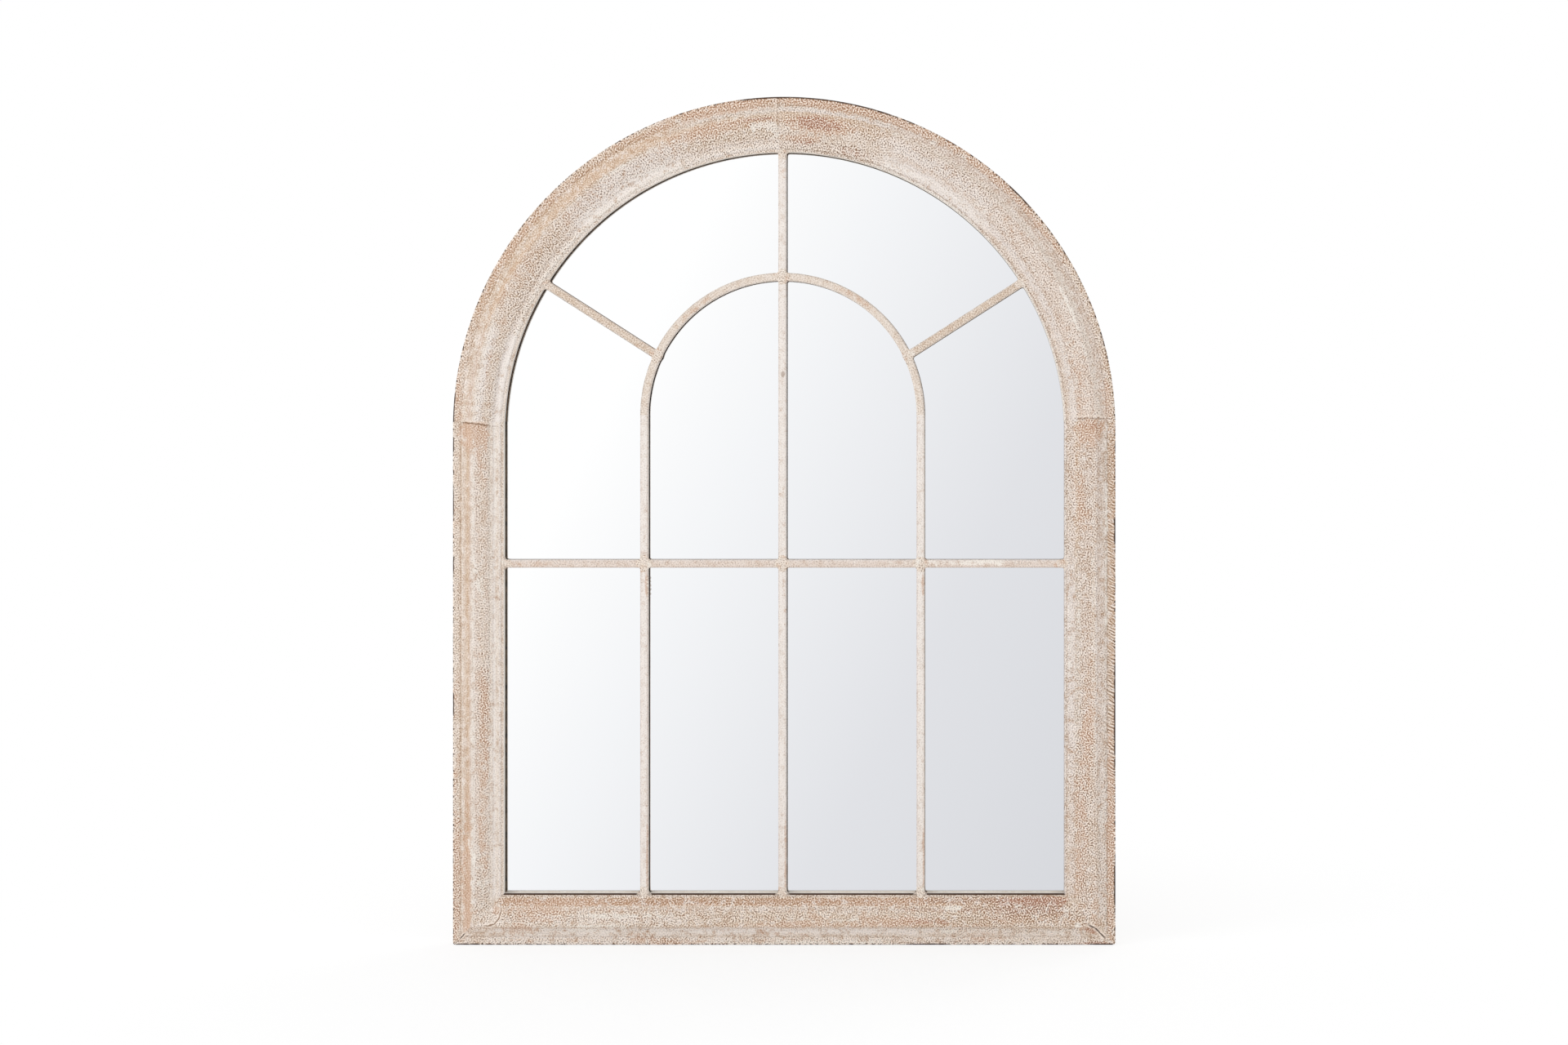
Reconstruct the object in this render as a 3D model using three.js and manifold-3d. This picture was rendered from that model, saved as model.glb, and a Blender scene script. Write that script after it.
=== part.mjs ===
// Arched window mirror: a moulded wooden frame in five members, a grille of thin bars in front of
// one sheet of mirror glass, a backing board, and two strap hangers with swinging rings behind.
//
// Millimetres, +Z up. The front faces -Y and the wall is at +Y. The origin is the middle of the line
// through the two hanger rings' pins, on the frame's flat back. While the pieces are made, z is
// counted from the bottom edge and "height" from the frame's back towards the front.

import * as THREE from 'three';
import { mergeVertices } from 'three/addons/utils/BufferGeometryUtils.js';
import Module from 'manifold-3d';

const wasm = await Module();
wasm.setup();

// ---- Driving dimensions ----

const gap = 0.3;              // clearance left between two pieces that touch

// Outline of the frame
const frameWidth = 690;
const springHeight = 538.5;   // centre of the arch above the bottom edge
const stileRise = 6.5;        // the stiles run on past the springing by this much
const faceWidth = 53.5;       // the moulding, outer edge to sight edge
const crownFace = 58;         // the same at the crown, where the arch is a little deeper
const crownSeam = -5;         // the crown joint lies left of the centre line

// Section of the moulding, from the outer edge inwards
const ledgeHeight = 21;
const ledgeWidth = 8;
const edgeRound = 1.2;
const quirkWidth = 1.3;
const quirkDepth = 1;
const coveStep = 0.8;         // the cove starts this much above the ledge
const coveWidth = 9.5;
const crestHeight = 28;
const crestRound = 2;
const faceRun = 20;           // the broad face, crest to bead
const faceFall = 5;
const beadWidth = 1.6;
const beadHeight = 0.9;
const innerFlatDrop = 1.4;    // the narrow flat lies this much below the foot of the broad face
const lipWidth = 2.6;         // rounded lip along the sight edge
const lipRound = 1;
const lipStand = 0.8;         // the lip stands this much in front of the grille

// Rebate behind the lip, and what lies in it
const rebateWidth = 9;
const boardRecess = 3.5;      // from the frame's back to the backing board
const boardThickness = 3;
const glassThickness = 3;
const edgePlay = 0.9;         // room round the edge of the glass and the board

// Grille bars
const barWidth = 8.5;
const barThickness = 8;
const barBevel = 1.4;
const barBevelDepth = 1.8;
const barStandoff = 1.6;      // air between the bars and the glass
const barSeat = 6;            // how far a bar end is let into the frame's lip
const gridShift = -2;         // the whole grille sits a little left of centre
const crossHeight = 397;      // cross bar above the bottom edge
const innerArchRadius = 144;
const innerArchRise = 13.5;   // centre of the inner arch above the springing
const fanAngle = 32.7;        // fan bars, degrees above the horizontal
const fanAimDrop = 8.5;       // they point at a spot this far below the springing

// Joinery
const dowelRadius = 4;
const dowelLength = 30;
const dowelChamfer = 1;
const dowelHeight = 9;        // dowel axis above the frame's back
const dowelInsets = { outer: 15, inner: 34 };   // from the frame's outer edge
const pinRadius = 1.25;
const pinInBar = 8;
const pinInArch = 4.5;
const pinChamfer = 0.3;

// Glazing points that hold the board in
const pointWidth = 8;
const pointShown = 6;
const pointBuried = 6;
const pointThickness = 0.6;
const pointsPerStile = 2;
const pointsInRail = 2;
const pointAngles = [20, 62, 118, 160];

// Hangers
const hangerAngle = 35;       // where they sit on the arch, degrees above the springing
const hangerInset = 25;       // from the frame's outer edge
const strapWidth = 14;
const strapLength = 28;       // from the ring's pin down to the strap's end
const strapThickness = 1.5;
const ringWire = 1.5;         // radius of the wire
const ringHalfWidth = 11.5;
const ringStraight = 7;       // straight sides, before the round end
const ringCorner = 3;
const screwDrops = [9, 21];   // screws below the ring's pin
const screwRadius = 1.75;
const screwHeadRadius = 3.2;
const screwLength = 15;
const screwTip = 3.5;
const recessLength = 3.8;     // cross recess in the screw head
const recessWidth = 0.9;
const recessDepth = 0.9;

// Bumpers
const bumperRadius = 7;
const bumperBottom = 62;      // above the bottom edge
const bumperInset = 22;       // from the frame's outer edge
const bumperDome = 2.5;

// Facets
const archSegments = 120;
const barArchSegments = 96;
const glassSegments = 72;
const roundSegments = 16;

// ---- Sizes that follow from them ----

const halfWidth = frameWidth / 2;
const frameHeight = springHeight + halfWidth;
const stileHeight = springHeight + stileRise;
const rebateInset = faceWidth - rebateWidth;
const boardFront = boardRecess + boardThickness;
const glassBack = boardFront + gap;
const glassFront = glassBack + glassThickness;
const rebateDepth = glassFront + gap;
const barBack = glassFront + barStandoff;
const barFront = barBack + barThickness;
const lapHeight = (barBack + barFront) / 2;
const lipHeight = barFront + lipStand;
const innerSpring = springHeight + innerArchRise;
const barrelRadius = ringWire + gap + strapThickness;
const pinStandoff = gap + barrelRadius;           // ring pin behind the frame's back
const wallStandoff = pinStandoff + barrelRadius;  // plane of the wall behind the frame's back
const hangerRadius = halfWidth - hangerInset;
const hangerX = hangerRadius * Math.cos(THREE.MathUtils.degToRad(hangerAngle));
const hangerZ = springHeight + hangerRadius * Math.sin(THREE.MathUtils.degToRad(hangerAngle));

// A line of the moulding, so far in from the outer edge. On the arch it is struck from a centre
// that lies lower the further in it is, so the face grows from the springing to the crown.
function archLine(inset) {
  return {
    radius: halfWidth - inset,
    centre: springHeight - inset * (crownFace - faceWidth) / faceWidth,
  };
}

// How far a straight line from (x, z) runs before it meets that line of the arch.
function reachOnArch(x, z, slope, inset) {
  const line = archLine(inset);
  const along = x * Math.cos(slope) + (z - line.centre) * Math.sin(slope);
  const apart = x * x + (z - line.centre) ** 2 - line.radius ** 2;
  return Math.sqrt(along * along - apart) - along;
}

// ---- Solids ----

function solidOf(geometry) {
  geometry.deleteAttribute('normal');
  geometry.deleteAttribute('uv');
  const merged = mergeVertices(geometry);
  return new wasm.Manifold(new wasm.Mesh({
    numProp: 3,
    vertProperties: new Float32Array(merged.attributes.position.array),
    triVerts: new Uint32Array(merged.index.array),
  }));
}

function geometryOf(solid) {
  const mesh = solid.getMesh();
  const geometry = new THREE.BufferGeometry();
  geometry.setAttribute('position', new THREE.BufferAttribute(mesh.vertProperties, 3));
  geometry.setIndex(new THREE.BufferAttribute(mesh.triVerts, 1));
  geometry.computeVertexNormals();
  return geometry;
}

const towardsFront = new THREE.Vector3(0, -1, 0);

function spot(x, height, z) {
  return new THREE.Vector3(x, -height, z);
}

// Lays a section, drawn as (across, height), along a straight line from a start point.
function layAlong(section, start, direction, length) {
  const geometry = new THREE.ExtrudeGeometry(section, { depth: length, bevelEnabled: false });
  const across = new THREE.Vector3().crossVectors(towardsFront, direction);
  const place = new THREE.Matrix4().makeBasis(across, towardsFront, direction).setPosition(start);
  return solidOf(geometry.applyMatrix4(place));
}

// A flat plate whose outline is drawn as (x, z), between two heights.
function plate(outline, from, to, segments = roundSegments) {
  const geometry = new THREE.ExtrudeGeometry(outline, {
    depth: to - from, bevelEnabled: false, curveSegments: segments,
  });
  return solidOf(geometry.rotateX(Math.PI / 2).translate(0, -from, 0));
}

function polygon(...corners) {
  return new THREE.Shape(corners.map(([x, z]) => new THREE.Vector2(x, z)));
}

// A ring in the plane of the frame, turned from a section drawn as (radius, height).
function turnedRing(section, segments, x, z) {
  const geometry = new THREE.LatheGeometry([...section, section[0]], segments);
  return solidOf(geometry.rotateX(Math.PI).translate(x, 0, z));
}

// A round rod between two points, with chamfered ends.
function rod(from, to, radius, chamfer) {
  const length = from.distanceTo(to);
  const profile = [
    [0, 0], [radius - chamfer, 0], [radius, chamfer],
    [radius, length - chamfer], [radius - chamfer, length], [0, length],
  ].map(([r, y]) => new THREE.Vector2(r, y));
  return solidOf(turnTo(new THREE.LatheGeometry(profile, roundSegments), from, to));
}

// A plain round hole to cut, between two points.
function bore(from, to, radius) {
  const length = from.distanceTo(to);
  const geometry = new THREE.CylinderGeometry(radius, radius, length, roundSegments);
  return solidOf(turnTo(geometry.translate(0, length / 2, 0), from, to));
}

function turnTo(geometry, from, to) {
  const direction = to.clone().sub(from).normalize();
  const turn = new THREE.Quaternion().setFromUnitVectors(new THREE.Vector3(0, 1, 0), direction);
  return geometry.applyQuaternion(turn).translate(from.x, from.y, from.z);
}

// ---- Frame ----

// The moulding's section as (inset, height), clockwise from the outer corner at the back.
function mouldingSection() {
  const coveStart = ledgeWidth + quirkWidth;
  const crestStart = coveStart + coveWidth;
  const faceStart = crestStart + crestRound;
  const faceEnd = faceStart + faceRun;
  const faceFoot = crestHeight - faceFall;
  const beadEnd = faceEnd + beadWidth;
  const innerFlat = faceFoot - innerFlatDrop;
  const lipStart = faceWidth - lipWidth;
  const line = new THREE.Path();
  line.moveTo(0, 0);
  line.lineTo(0, ledgeHeight - edgeRound);
  line.quadraticCurveTo(0, ledgeHeight, edgeRound, ledgeHeight);
  line.lineTo(ledgeWidth, ledgeHeight);
  line.lineTo(ledgeWidth + quirkWidth / 2, ledgeHeight - quirkDepth);
  line.lineTo(coveStart, ledgeHeight + coveStep);
  line.quadraticCurveTo(crestStart, ledgeHeight + coveStep, crestStart, crestHeight - crestRound);
  line.quadraticCurveTo(crestStart, crestHeight, faceStart, crestHeight);
  line.quadraticCurveTo(faceStart + faceRun * 0.6, crestHeight - faceFall * 0.3, faceEnd, faceFoot);
  line.quadraticCurveTo(faceEnd + beadWidth / 2, faceFoot + 2 * beadHeight, beadEnd, faceFoot);
  line.lineTo(beadEnd, innerFlat);
  line.lineTo(lipStart - quirkWidth, innerFlat);
  line.lineTo(lipStart - quirkWidth / 2, lipHeight - quirkDepth);
  line.lineTo(lipStart, lipHeight);
  line.lineTo(faceWidth - lipRound, lipHeight);
  line.quadraticCurveTo(faceWidth, lipHeight, faceWidth, lipHeight - lipRound);
  line.lineTo(faceWidth, rebateDepth);
  line.lineTo(rebateInset, rebateDepth);
  line.lineTo(rebateInset, 0);
  return line.getPoints(3);
}

const section = mouldingSection();
const sectionShape = new THREE.Shape(section);

// A member's mitre runs from the outer bottom corner up to the sight corner.
const mitreTop = faceWidth + 1;
const mitreGap = gap / Math.SQRT2;

function makeStile(side) {
  const length = stileHeight - gap / 2;
  const upward = side > 0;
  const start = spot(side * halfWidth, 0, upward ? 0 : length);
  const bar = layAlong(sectionShape, start, new THREE.Vector3(0, 0, upward ? 1 : -1), length);
  return bar.intersect(plate(polygon(
    [side * (halfWidth + 1), mitreGap - 1],
    [side * (halfWidth + 1), stileHeight],
    [side * (halfWidth - mitreTop), stileHeight],
    [side * (halfWidth - mitreTop), mitreTop + mitreGap],
  ), -1, crestHeight + 1));
}

function makeBottomRail() {
  const bar = layAlong(sectionShape, spot(-halfWidth, 0, 0), new THREE.Vector3(1, 0, 0), frameWidth);
  return bar.intersect(plate(polygon(
    [mitreGap - halfWidth - 1, -1],
    [halfWidth + 1 - mitreGap, -1],
    [halfWidth - mitreTop - mitreGap, mitreTop],
    [mitreTop + mitreGap - halfWidth, mitreTop],
  ), -1, crestHeight + 1));
}

// The two arch quarters are cut from one turned ring, whose lines are then struck from their own
// centres.
function makeArchQuarters() {
  const ringSection = section.map((p) => new THREE.Vector2(halfWidth - p.x, p.y));
  const ring = turnedRing(ringSection, archSegments, 0, springHeight).warp((vertex) => {
    const radius = Math.hypot(vertex[0], vertex[2] - springHeight);
    vertex[2] += archLine(halfWidth - radius).centre - springHeight;
  });
  const quarter = (fromX, toX) => ring.intersect(plate(polygon(
    [fromX, stileHeight + gap / 2],
    [toX, stileHeight + gap / 2],
    [toX, frameHeight + 1],
    [fromX, frameHeight + 1],
  ), -1, crestHeight + 1));
  return {
    left: quarter(-halfWidth - 1, crownSeam - gap / 2),
    right: quarter(crownSeam + gap / 2, halfWidth + 1),
  };
}

const quarters = makeArchQuarters();
const members = {
  left_arch_quarter: quarters.left,
  right_arch_quarter: quarters.right,
  left_stile: makeStile(-1),
  right_stile: makeStile(1),
  bottom_rail: makeBottomRail(),
};

function cutMembers(names, tool) {
  for (const name of names) members[name] = members[name].subtract(tool);
}

// ---- Dowels across the five joints ----

const dowels = {};

function addDowels(joint, names, centreOf, direction) {
  const half = direction.clone().multiplyScalar(dowelLength / 2);
  const play = direction.clone().multiplyScalar(gap);
  for (const [place, inset] of Object.entries(dowelInsets)) {
    const centre = centreOf(inset);
    const from = centre.clone().sub(half);
    const to = centre.clone().add(half);
    dowels[`${joint}_dowel_${place}`] = rod(from, to, dowelRadius, dowelChamfer);
    cutMembers(names, bore(from.sub(play), to.add(play), dowelRadius + gap));
  }
}

addDowels('crown', ['left_arch_quarter', 'right_arch_quarter'],
  (inset) => spot(crownSeam, dowelHeight, archLine(inset).centre + archLine(inset).radius),
  new THREE.Vector3(1, 0, 0));

for (const [side, sign] of [['left', -1], ['right', 1]]) {
  addDowels(`${side}_spring`, [`${side}_arch_quarter`, `${side}_stile`],
    (inset) => spot(sign * (halfWidth - inset), dowelHeight, stileHeight),
    new THREE.Vector3(0, 0, 1));
  addDowels(`${side}_mitre`, [`${side}_stile`, 'bottom_rail'],
    (inset) => spot(sign * (halfWidth - inset), dowelHeight, inset),
    new THREE.Vector3(sign * Math.SQRT1_2, 0, Math.SQRT1_2));
}

// ---- Grille ----

// Each straight bar is a start, a slope in the plane of the frame, and a length.
const upSlope = Math.PI / 2;
const legX = { left: gridShift - innerArchRadius, right: gridShift + innerArchRadius };
const seatInset = faceWidth - barSeat;
const legTop = innerSpring - gap / 2;

function runOf(x, z, slope, length) {
  return { x, z, slope, length };
}

function fanRun(sign) {
  const slope = sign > 0 ? THREE.MathUtils.degToRad(fanAngle) : THREE.MathUtils.degToRad(180 - fanAngle);
  const aimZ = springHeight - fanAimDrop;
  const dx = Math.cos(slope);
  const dz = Math.sin(slope);
  const drop = aimZ - innerSpring;
  const outside = innerArchRadius;
  const inner = Math.sqrt(outside ** 2 - drop ** 2 + (drop * dz) ** 2) - drop * dz;
  const outer = reachOnArch(gridShift, aimZ, slope, seatInset);
  return runOf(gridShift + inner * dx, aimZ + inner * dz, slope, outer - inner);
}

const runs = {
  centre_bar: runOf(gridShift, seatInset, upSlope, reachOnArch(gridShift, seatInset, upSlope, seatInset)),
  cross_bar: runOf(seatInset - halfWidth, crossHeight, 0, frameWidth - 2 * seatInset),
  left_leg_bar: runOf(legX.left, seatInset, upSlope, legTop - seatInset),
  right_leg_bar: runOf(legX.right, seatInset, upSlope, legTop - seatInset),
  left_fan_bar: fanRun(-1),
  right_fan_bar: fanRun(1),
};

const barSection = polygon(
  [-barWidth / 2, barBack],
  [barWidth / 2, barBack],
  [barWidth / 2, barFront - barBevelDepth],
  [barWidth / 2 - barBevel, barFront],
  [barBevel - barWidth / 2, barFront],
  [-barWidth / 2, barFront - barBevelDepth],
);

function along(run, distance, height) {
  return spot(run.x + distance * Math.cos(run.slope), height, run.z + distance * Math.sin(run.slope));
}

// The bar itself, a gap short at the ends that stand in a seat.
function straightBar(run, startPlay, endPlay) {
  const direction = new THREE.Vector3(Math.cos(run.slope), 0, Math.sin(run.slope));
  const length = run.length - startPlay - endPlay;
  return layAlong(barSection, along(run, startPlay, 0), direction, length);
}

// The room that a bar needs in another piece, between two heights.
function barRoom(run, from, to) {
  const half = barWidth / 2 + gap;
  const sx = -Math.sin(run.slope) * half;
  const sz = Math.cos(run.slope) * half;
  const start = along(run, 0, 0);
  const end = along(run, run.length, 0);
  return plate(polygon(
    [start.x - sx, start.z - sz], [end.x - sx, end.z - sz],
    [end.x + sx, end.z + sz], [start.x + sx, start.z + sz],
  ), from, to);
}

// The inner arch is turned from the same section and stands on the two legs.
function barArch() {
  const turned = barSection.getPoints().map((p) => new THREE.Vector2(innerArchRadius + p.x, p.y));
  const reach = innerArchRadius + barWidth;
  return turnedRing(turned, barArchSegments, gridShift, innerSpring).intersect(plate(polygon(
    [gridShift - reach, innerSpring + gap / 2], [gridShift + reach, innerSpring + gap / 2],
    [gridShift + reach, innerSpring + reach], [gridShift - reach, innerSpring + reach],
  ), 0, lipHeight));
}

function barArchRoom(inner, outer, from, to) {
  const room = [[inner, from], [outer, from], [outer, to], [inner, to]];
  return turnedRing(room.map(([r, h]) => new THREE.Vector2(r, h)), barArchSegments, gridShift, innerSpring);
}

const bars = {
  centre_bar: straightBar(runs.centre_bar, gap, gap),
  cross_bar: straightBar(runs.cross_bar, gap, gap),
  left_leg_bar: straightBar(runs.left_leg_bar, gap, 0),
  right_leg_bar: straightBar(runs.right_leg_bar, gap, 0),
  left_fan_bar: straightBar(runs.left_fan_bar, 0, gap),
  right_fan_bar: straightBar(runs.right_fan_bar, 0, gap),
  inner_arch_bar: barArch(),
};

// Cross laps: the upright bar keeps its front half, the one behind it keeps its back half.
const lapBack = [barBack - 1, lapHeight + gap / 2];
const lapFront = [lapHeight - gap / 2, barFront + 1];
const archHalf = barWidth / 2 + gap;

for (const upright of ['centre_bar', 'left_leg_bar', 'right_leg_bar']) {
  bars[upright] = bars[upright].subtract(barRoom(runs.cross_bar, ...lapBack));
  bars.cross_bar = bars.cross_bar.subtract(barRoom(runs[upright], ...lapFront));
}
bars.centre_bar = bars.centre_bar.subtract(
  barArchRoom(innerArchRadius - archHalf, innerArchRadius + archHalf, ...lapBack));
bars.inner_arch_bar = bars.inner_arch_bar.subtract(barRoom(runs.centre_bar, ...lapFront));

// The fan bars' inner ends are hollowed to sit against the outside of the inner arch.
for (const fan of ['left_fan_bar', 'right_fan_bar']) {
  bars[fan] = bars[fan].subtract(
    barArchRoom(innerArchRadius / 2, innerArchRadius + archHalf, barBack - 1, barFront + 1));
}

// Every bar end is let into the lip through its front.
for (const [bar, seats] of Object.entries({
  centre_bar: ['left_arch_quarter', 'right_arch_quarter', 'bottom_rail'],
  cross_bar: ['left_stile', 'right_stile'],
  left_leg_bar: ['bottom_rail'],
  right_leg_bar: ['bottom_rail'],
  left_fan_bar: ['left_arch_quarter'],
  right_fan_bar: ['right_arch_quarter'],
})) {
  cutMembers(seats, barRoom(runs[bar], 0, crestHeight));
}

// ---- Pins between the inner arch and the bars that end on it ----

const pins = {};

function addPin(name, seatOnArch, direction, bar) {
  const from = seatOnArch.clone().addScaledVector(direction, -pinInArch);
  const to = seatOnArch.clone().addScaledVector(direction, pinInBar);
  pins[name] = rod(from, to, pinRadius, pinChamfer);
  const room = bore(from.addScaledVector(direction, -gap), to.addScaledVector(direction, gap),
    pinRadius + gap);
  bars[bar] = bars[bar].subtract(room);
  bars.inner_arch_bar = bars.inner_arch_bar.subtract(room);
}

for (const side of ['left', 'right']) {
  const run = runs[`${side}_fan_bar`];
  const outward = new THREE.Vector3(Math.cos(run.slope), 0, Math.sin(run.slope));
  addPin(`${side}_leg_pin`, spot(legX[side], lapHeight, innerSpring), new THREE.Vector3(0, 0, -1),
    `${side}_leg_bar`);
  addPin(`${side}_fan_pin`, along(run, barWidth / 2, lapHeight), outward, `${side}_fan_bar`);
}

// ---- Mirror glass, backing board and glazing points ----

// The arched outline of a sheet that lies in the rebate.
function sheetOutline() {
  const line = archLine(rebateInset + edgePlay);
  const bottom = rebateInset + gap;
  const outline = new THREE.Shape();
  outline.moveTo(-line.radius, bottom);
  outline.lineTo(line.radius, bottom);
  outline.lineTo(line.radius, line.centre);
  outline.absarc(0, line.centre, line.radius, 0, Math.PI);
  return outline;
}

const sheets = {
  mirror_glass: plate(sheetOutline(), glassBack, glassFront, glassSegments),
  backing_board: plate(sheetOutline(), boardRecess, boardFront, glassSegments),
};

// Where the glazing points go into the rebate's wall: a place, the way out, and the member there.
function pointPlaces() {
  const places = [];
  const wall = halfWidth - rebateInset;
  for (let i = 1; i <= pointsPerStile; i += 1) {
    const z = rebateInset + (springHeight - rebateInset) * i / (pointsPerStile + 1);
    places.push({ x: -wall, z, outward: Math.PI, member: 'left_stile' });
    places.push({ x: wall, z, outward: 0, member: 'right_stile' });
  }
  for (let i = 1; i <= pointsInRail; i += 1) {
    const x = wall * (2 * i / (pointsInRail + 1) - 1);
    places.push({ x, z: rebateInset, outward: -Math.PI / 2, member: 'bottom_rail' });
  }
  const line = archLine(rebateInset);
  for (const degrees of pointAngles) {
    const outward = THREE.MathUtils.degToRad(degrees);
    const x = line.radius * Math.cos(outward);
    const z = line.centre + line.radius * Math.sin(outward);
    places.push({ x, z, outward, member: x < 0 ? 'left_arch_quarter' : 'right_arch_quarter' });
  }
  return places;
}

// A flat steel point: square where it lies on the board, tapered where it goes into the wood.
function pointOutline(place, play) {
  const half = pointWidth / 2 + play;
  const tip = half / 3;
  return new THREE.Shape([
    [-pointShown, -half], [pointBuried / 3, -half], [pointBuried + play, -tip],
    [pointBuried + play, tip], [pointBuried / 3, half], [-pointShown, half],
  ].map(([out, across]) => new THREE.Vector2(out, across)
    .rotateAround(new THREE.Vector2(), place.outward)
    .add(new THREE.Vector2(place.x, place.z))));
}

const points = {};
const pointFront = boardRecess - gap;
const pointBack = pointFront - pointThickness;

pointPlaces().forEach((place, i) => {
  points[`glazing_point_${i + 1}`] = plate(pointOutline(place, 0), pointBack, pointFront);
  cutMembers([place.member], plate(pointOutline(place, gap), pointBack - gap, pointFront + gap));
});

// ---- Hangers ----

// A hanger's strap, seen from the side as (behind the frame, up): a plate rolled round the pin.
function strapSection() {
  const plateBack = gap + strapThickness;
  const meet = Math.acos((plateBack - pinStandoff) / barrelRadius);
  const outline = new THREE.Shape();
  outline.moveTo(gap, -strapLength);
  outline.lineTo(gap, 0);
  outline.absarc(pinStandoff, 0, barrelRadius, Math.PI, -meet, true);
  outline.lineTo(plateBack, -strapLength);
  const eye = new THREE.Path();
  eye.absarc(pinStandoff, 0, ringWire + gap, 0, 2 * Math.PI);
  outline.holes.push(eye);
  return outline;
}

function makeStrap(x) {
  const geometry = new THREE.ExtrudeGeometry(strapSection(), {
    depth: strapWidth, bevelEnabled: false, curveSegments: roundSegments,
  });
  const place = new THREE.Matrix4().makeBasis(
    new THREE.Vector3(0, 1, 0), new THREE.Vector3(0, 0, 1), new THREE.Vector3(1, 0, 0));
  let strap = solidOf(geometry.applyMatrix4(place.setPosition(x - strapWidth / 2, 0, hangerZ)));
  for (const drop of screwDrops) strap = strap.subtract(screwBody(x, drop, gap));
  return strap;
}

// A countersunk screw, or with some play the room that it needs.
function screwBody(x, drop, play) {
  const shank = screwRadius + play;
  const head = screwHeadRadius + play * Math.SQRT2;
  const tipStart = screwLength - screwTip;
  const profile = [
    [0, -screwLength - play], [shank, -tipStart], [shank, shank - head], [head, 0],
    [head, play], [0, play],
  ].map(([r, y]) => new THREE.Vector2(r, y));
  const geometry = new THREE.LatheGeometry(profile, roundSegments);
  return solidOf(geometry.translate(x, gap + strapThickness, hangerZ - drop));
}

function makeScrew(x, drop) {
  const top = gap + strapThickness;
  let screw = screwBody(x, drop, 0);
  for (const turn of [0, Math.PI / 2]) {
    const slot = new THREE.BoxGeometry(recessLength, 2 * recessDepth, recessWidth).rotateY(turn);
    screw = screw.subtract(solidOf(slot.translate(x, top, hangerZ - drop)));
  }
  return screw;
}

// One bent wire: a straight pin through the strap's roll, two sides and a round end. Its two cut
// ends meet inside the roll.
function makeRing(x) {
  const path = new THREE.CurvePath();
  const side = ringHalfWidth;
  const corner = ringCorner;
  const line = (x1, z1, x2, z2) => path.add(new THREE.LineCurve3(
    new THREE.Vector3(x1, 0, z1), new THREE.Vector3(x2, 0, z2)));
  const bend = (...p) => path.add(new THREE.CubicBezierCurve3(
    ...[0, 2, 4, 6].map((i) => new THREE.Vector3(p[i], 0, p[i + 1]))));
  const round = 0.5523;        // control length of a quarter circle drawn as a cubic curve
  const c = corner * (1 - round);
  const end = -ringStraight;
  const k = side * round;
  line(gap / 2, 0, side - corner, 0);
  bend(side - corner, 0, side - c, 0, side, -c, side, -corner);
  line(side, -corner, side, end);
  bend(side, end, side, end - k, k, end - side, 0, end - side);
  bend(0, end - side, -k, end - side, -side, end - k, -side, end);
  line(-side, end, -side, -corner);
  bend(-side, -corner, -side, -c, c - side, 0, corner - side, 0);
  line(corner - side, 0, -gap / 2, 0);
  const wire = new THREE.Shape().absarc(0, 0, ringWire, 0, 2 * Math.PI);
  const geometry = new THREE.ExtrudeGeometry(wire, {
    steps: 44, curveSegments: 4, extrudePath: path, bevelEnabled: false,
  });
  return solidOf(geometry.translate(x, pinStandoff, hangerZ));
}

// ---- Bumpers that keep the bottom off the wall ----

function makeBumper(x) {
  const tall = wallStandoff - gap;
  const profile = [
    [0, 0], [bumperRadius, 0], [bumperRadius, tall - bumperDome],
    [bumperRadius * 0.86, tall - bumperDome * 0.4], [bumperRadius * 0.55, tall], [0, tall],
  ].map(([r, y]) => new THREE.Vector2(r, y));
  const geometry = new THREE.LatheGeometry(profile, roundSegments);
  return solidOf(geometry.translate(x, gap, bumperBottom));
}

const hardware = {};
for (const [side, sign] of [['left', -1], ['right', 1]]) {
  const x = sign * hangerX;
  hardware[`${side}_hanger_strap`] = makeStrap(x);
  hardware[`${side}_hanger_ring`] = makeRing(x);
  screwDrops.forEach((drop, i) => {
    hardware[`${side}_hanger_screw_${i + 1}`] = makeScrew(x, drop);
    cutMembers([`${side}_arch_quarter`], screwBody(x, drop, gap));
  });
  hardware[`${side}_bumper`] = makeBumper(sign * (halfWidth - bumperInset));
}

// ---- Materials and the finished group ----

function material(color, roughness, metalness) {
  return () => new THREE.MeshStandardMaterial({ color, roughness, metalness });
}

const whitewashedWood = material(0xd6c3b4, 0.8, 0);
const paintedBar = material(0xe2d7cb, 0.75, 0);
const rawWood = material(0xc9a77c, 0.85, 0);
const silveredGlass = material(0xe6e9ee, 0.03, 1);
const hardboard = material(0x8a6a4a, 0.9, 0);
const zincedSteel = material(0xb9bcc0, 0.35, 1);
const brassedSteel = material(0xb79a5b, 0.3, 1);
const blackRubber = material(0x2b2b2c, 0.85, 0);

const mirror = new THREE.Group();
mirror.position.z = -hangerZ;

function addAll(solids, finishOf) {
  for (const [name, solid] of Object.entries(solids)) {
    const mesh = new THREE.Mesh(geometryOf(solid), finishOf(name)());
    mesh.name = name;
    mirror.add(mesh);
  }
}

addAll(members, () => whitewashedWood);
addAll(bars, () => paintedBar);
addAll(pins, () => rawWood);
addAll(dowels, () => rawWood);
addAll(sheets, (name) => (name === 'mirror_glass' ? silveredGlass : hardboard));
addAll(points, () => zincedSteel);
addAll(hardware, (name) => {
  if (name.endsWith('bumper')) return blackRubber;
  return name.endsWith('ring') ? brassedSteel : zincedSteel;
});

export default mirror;
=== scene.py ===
import math

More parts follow.
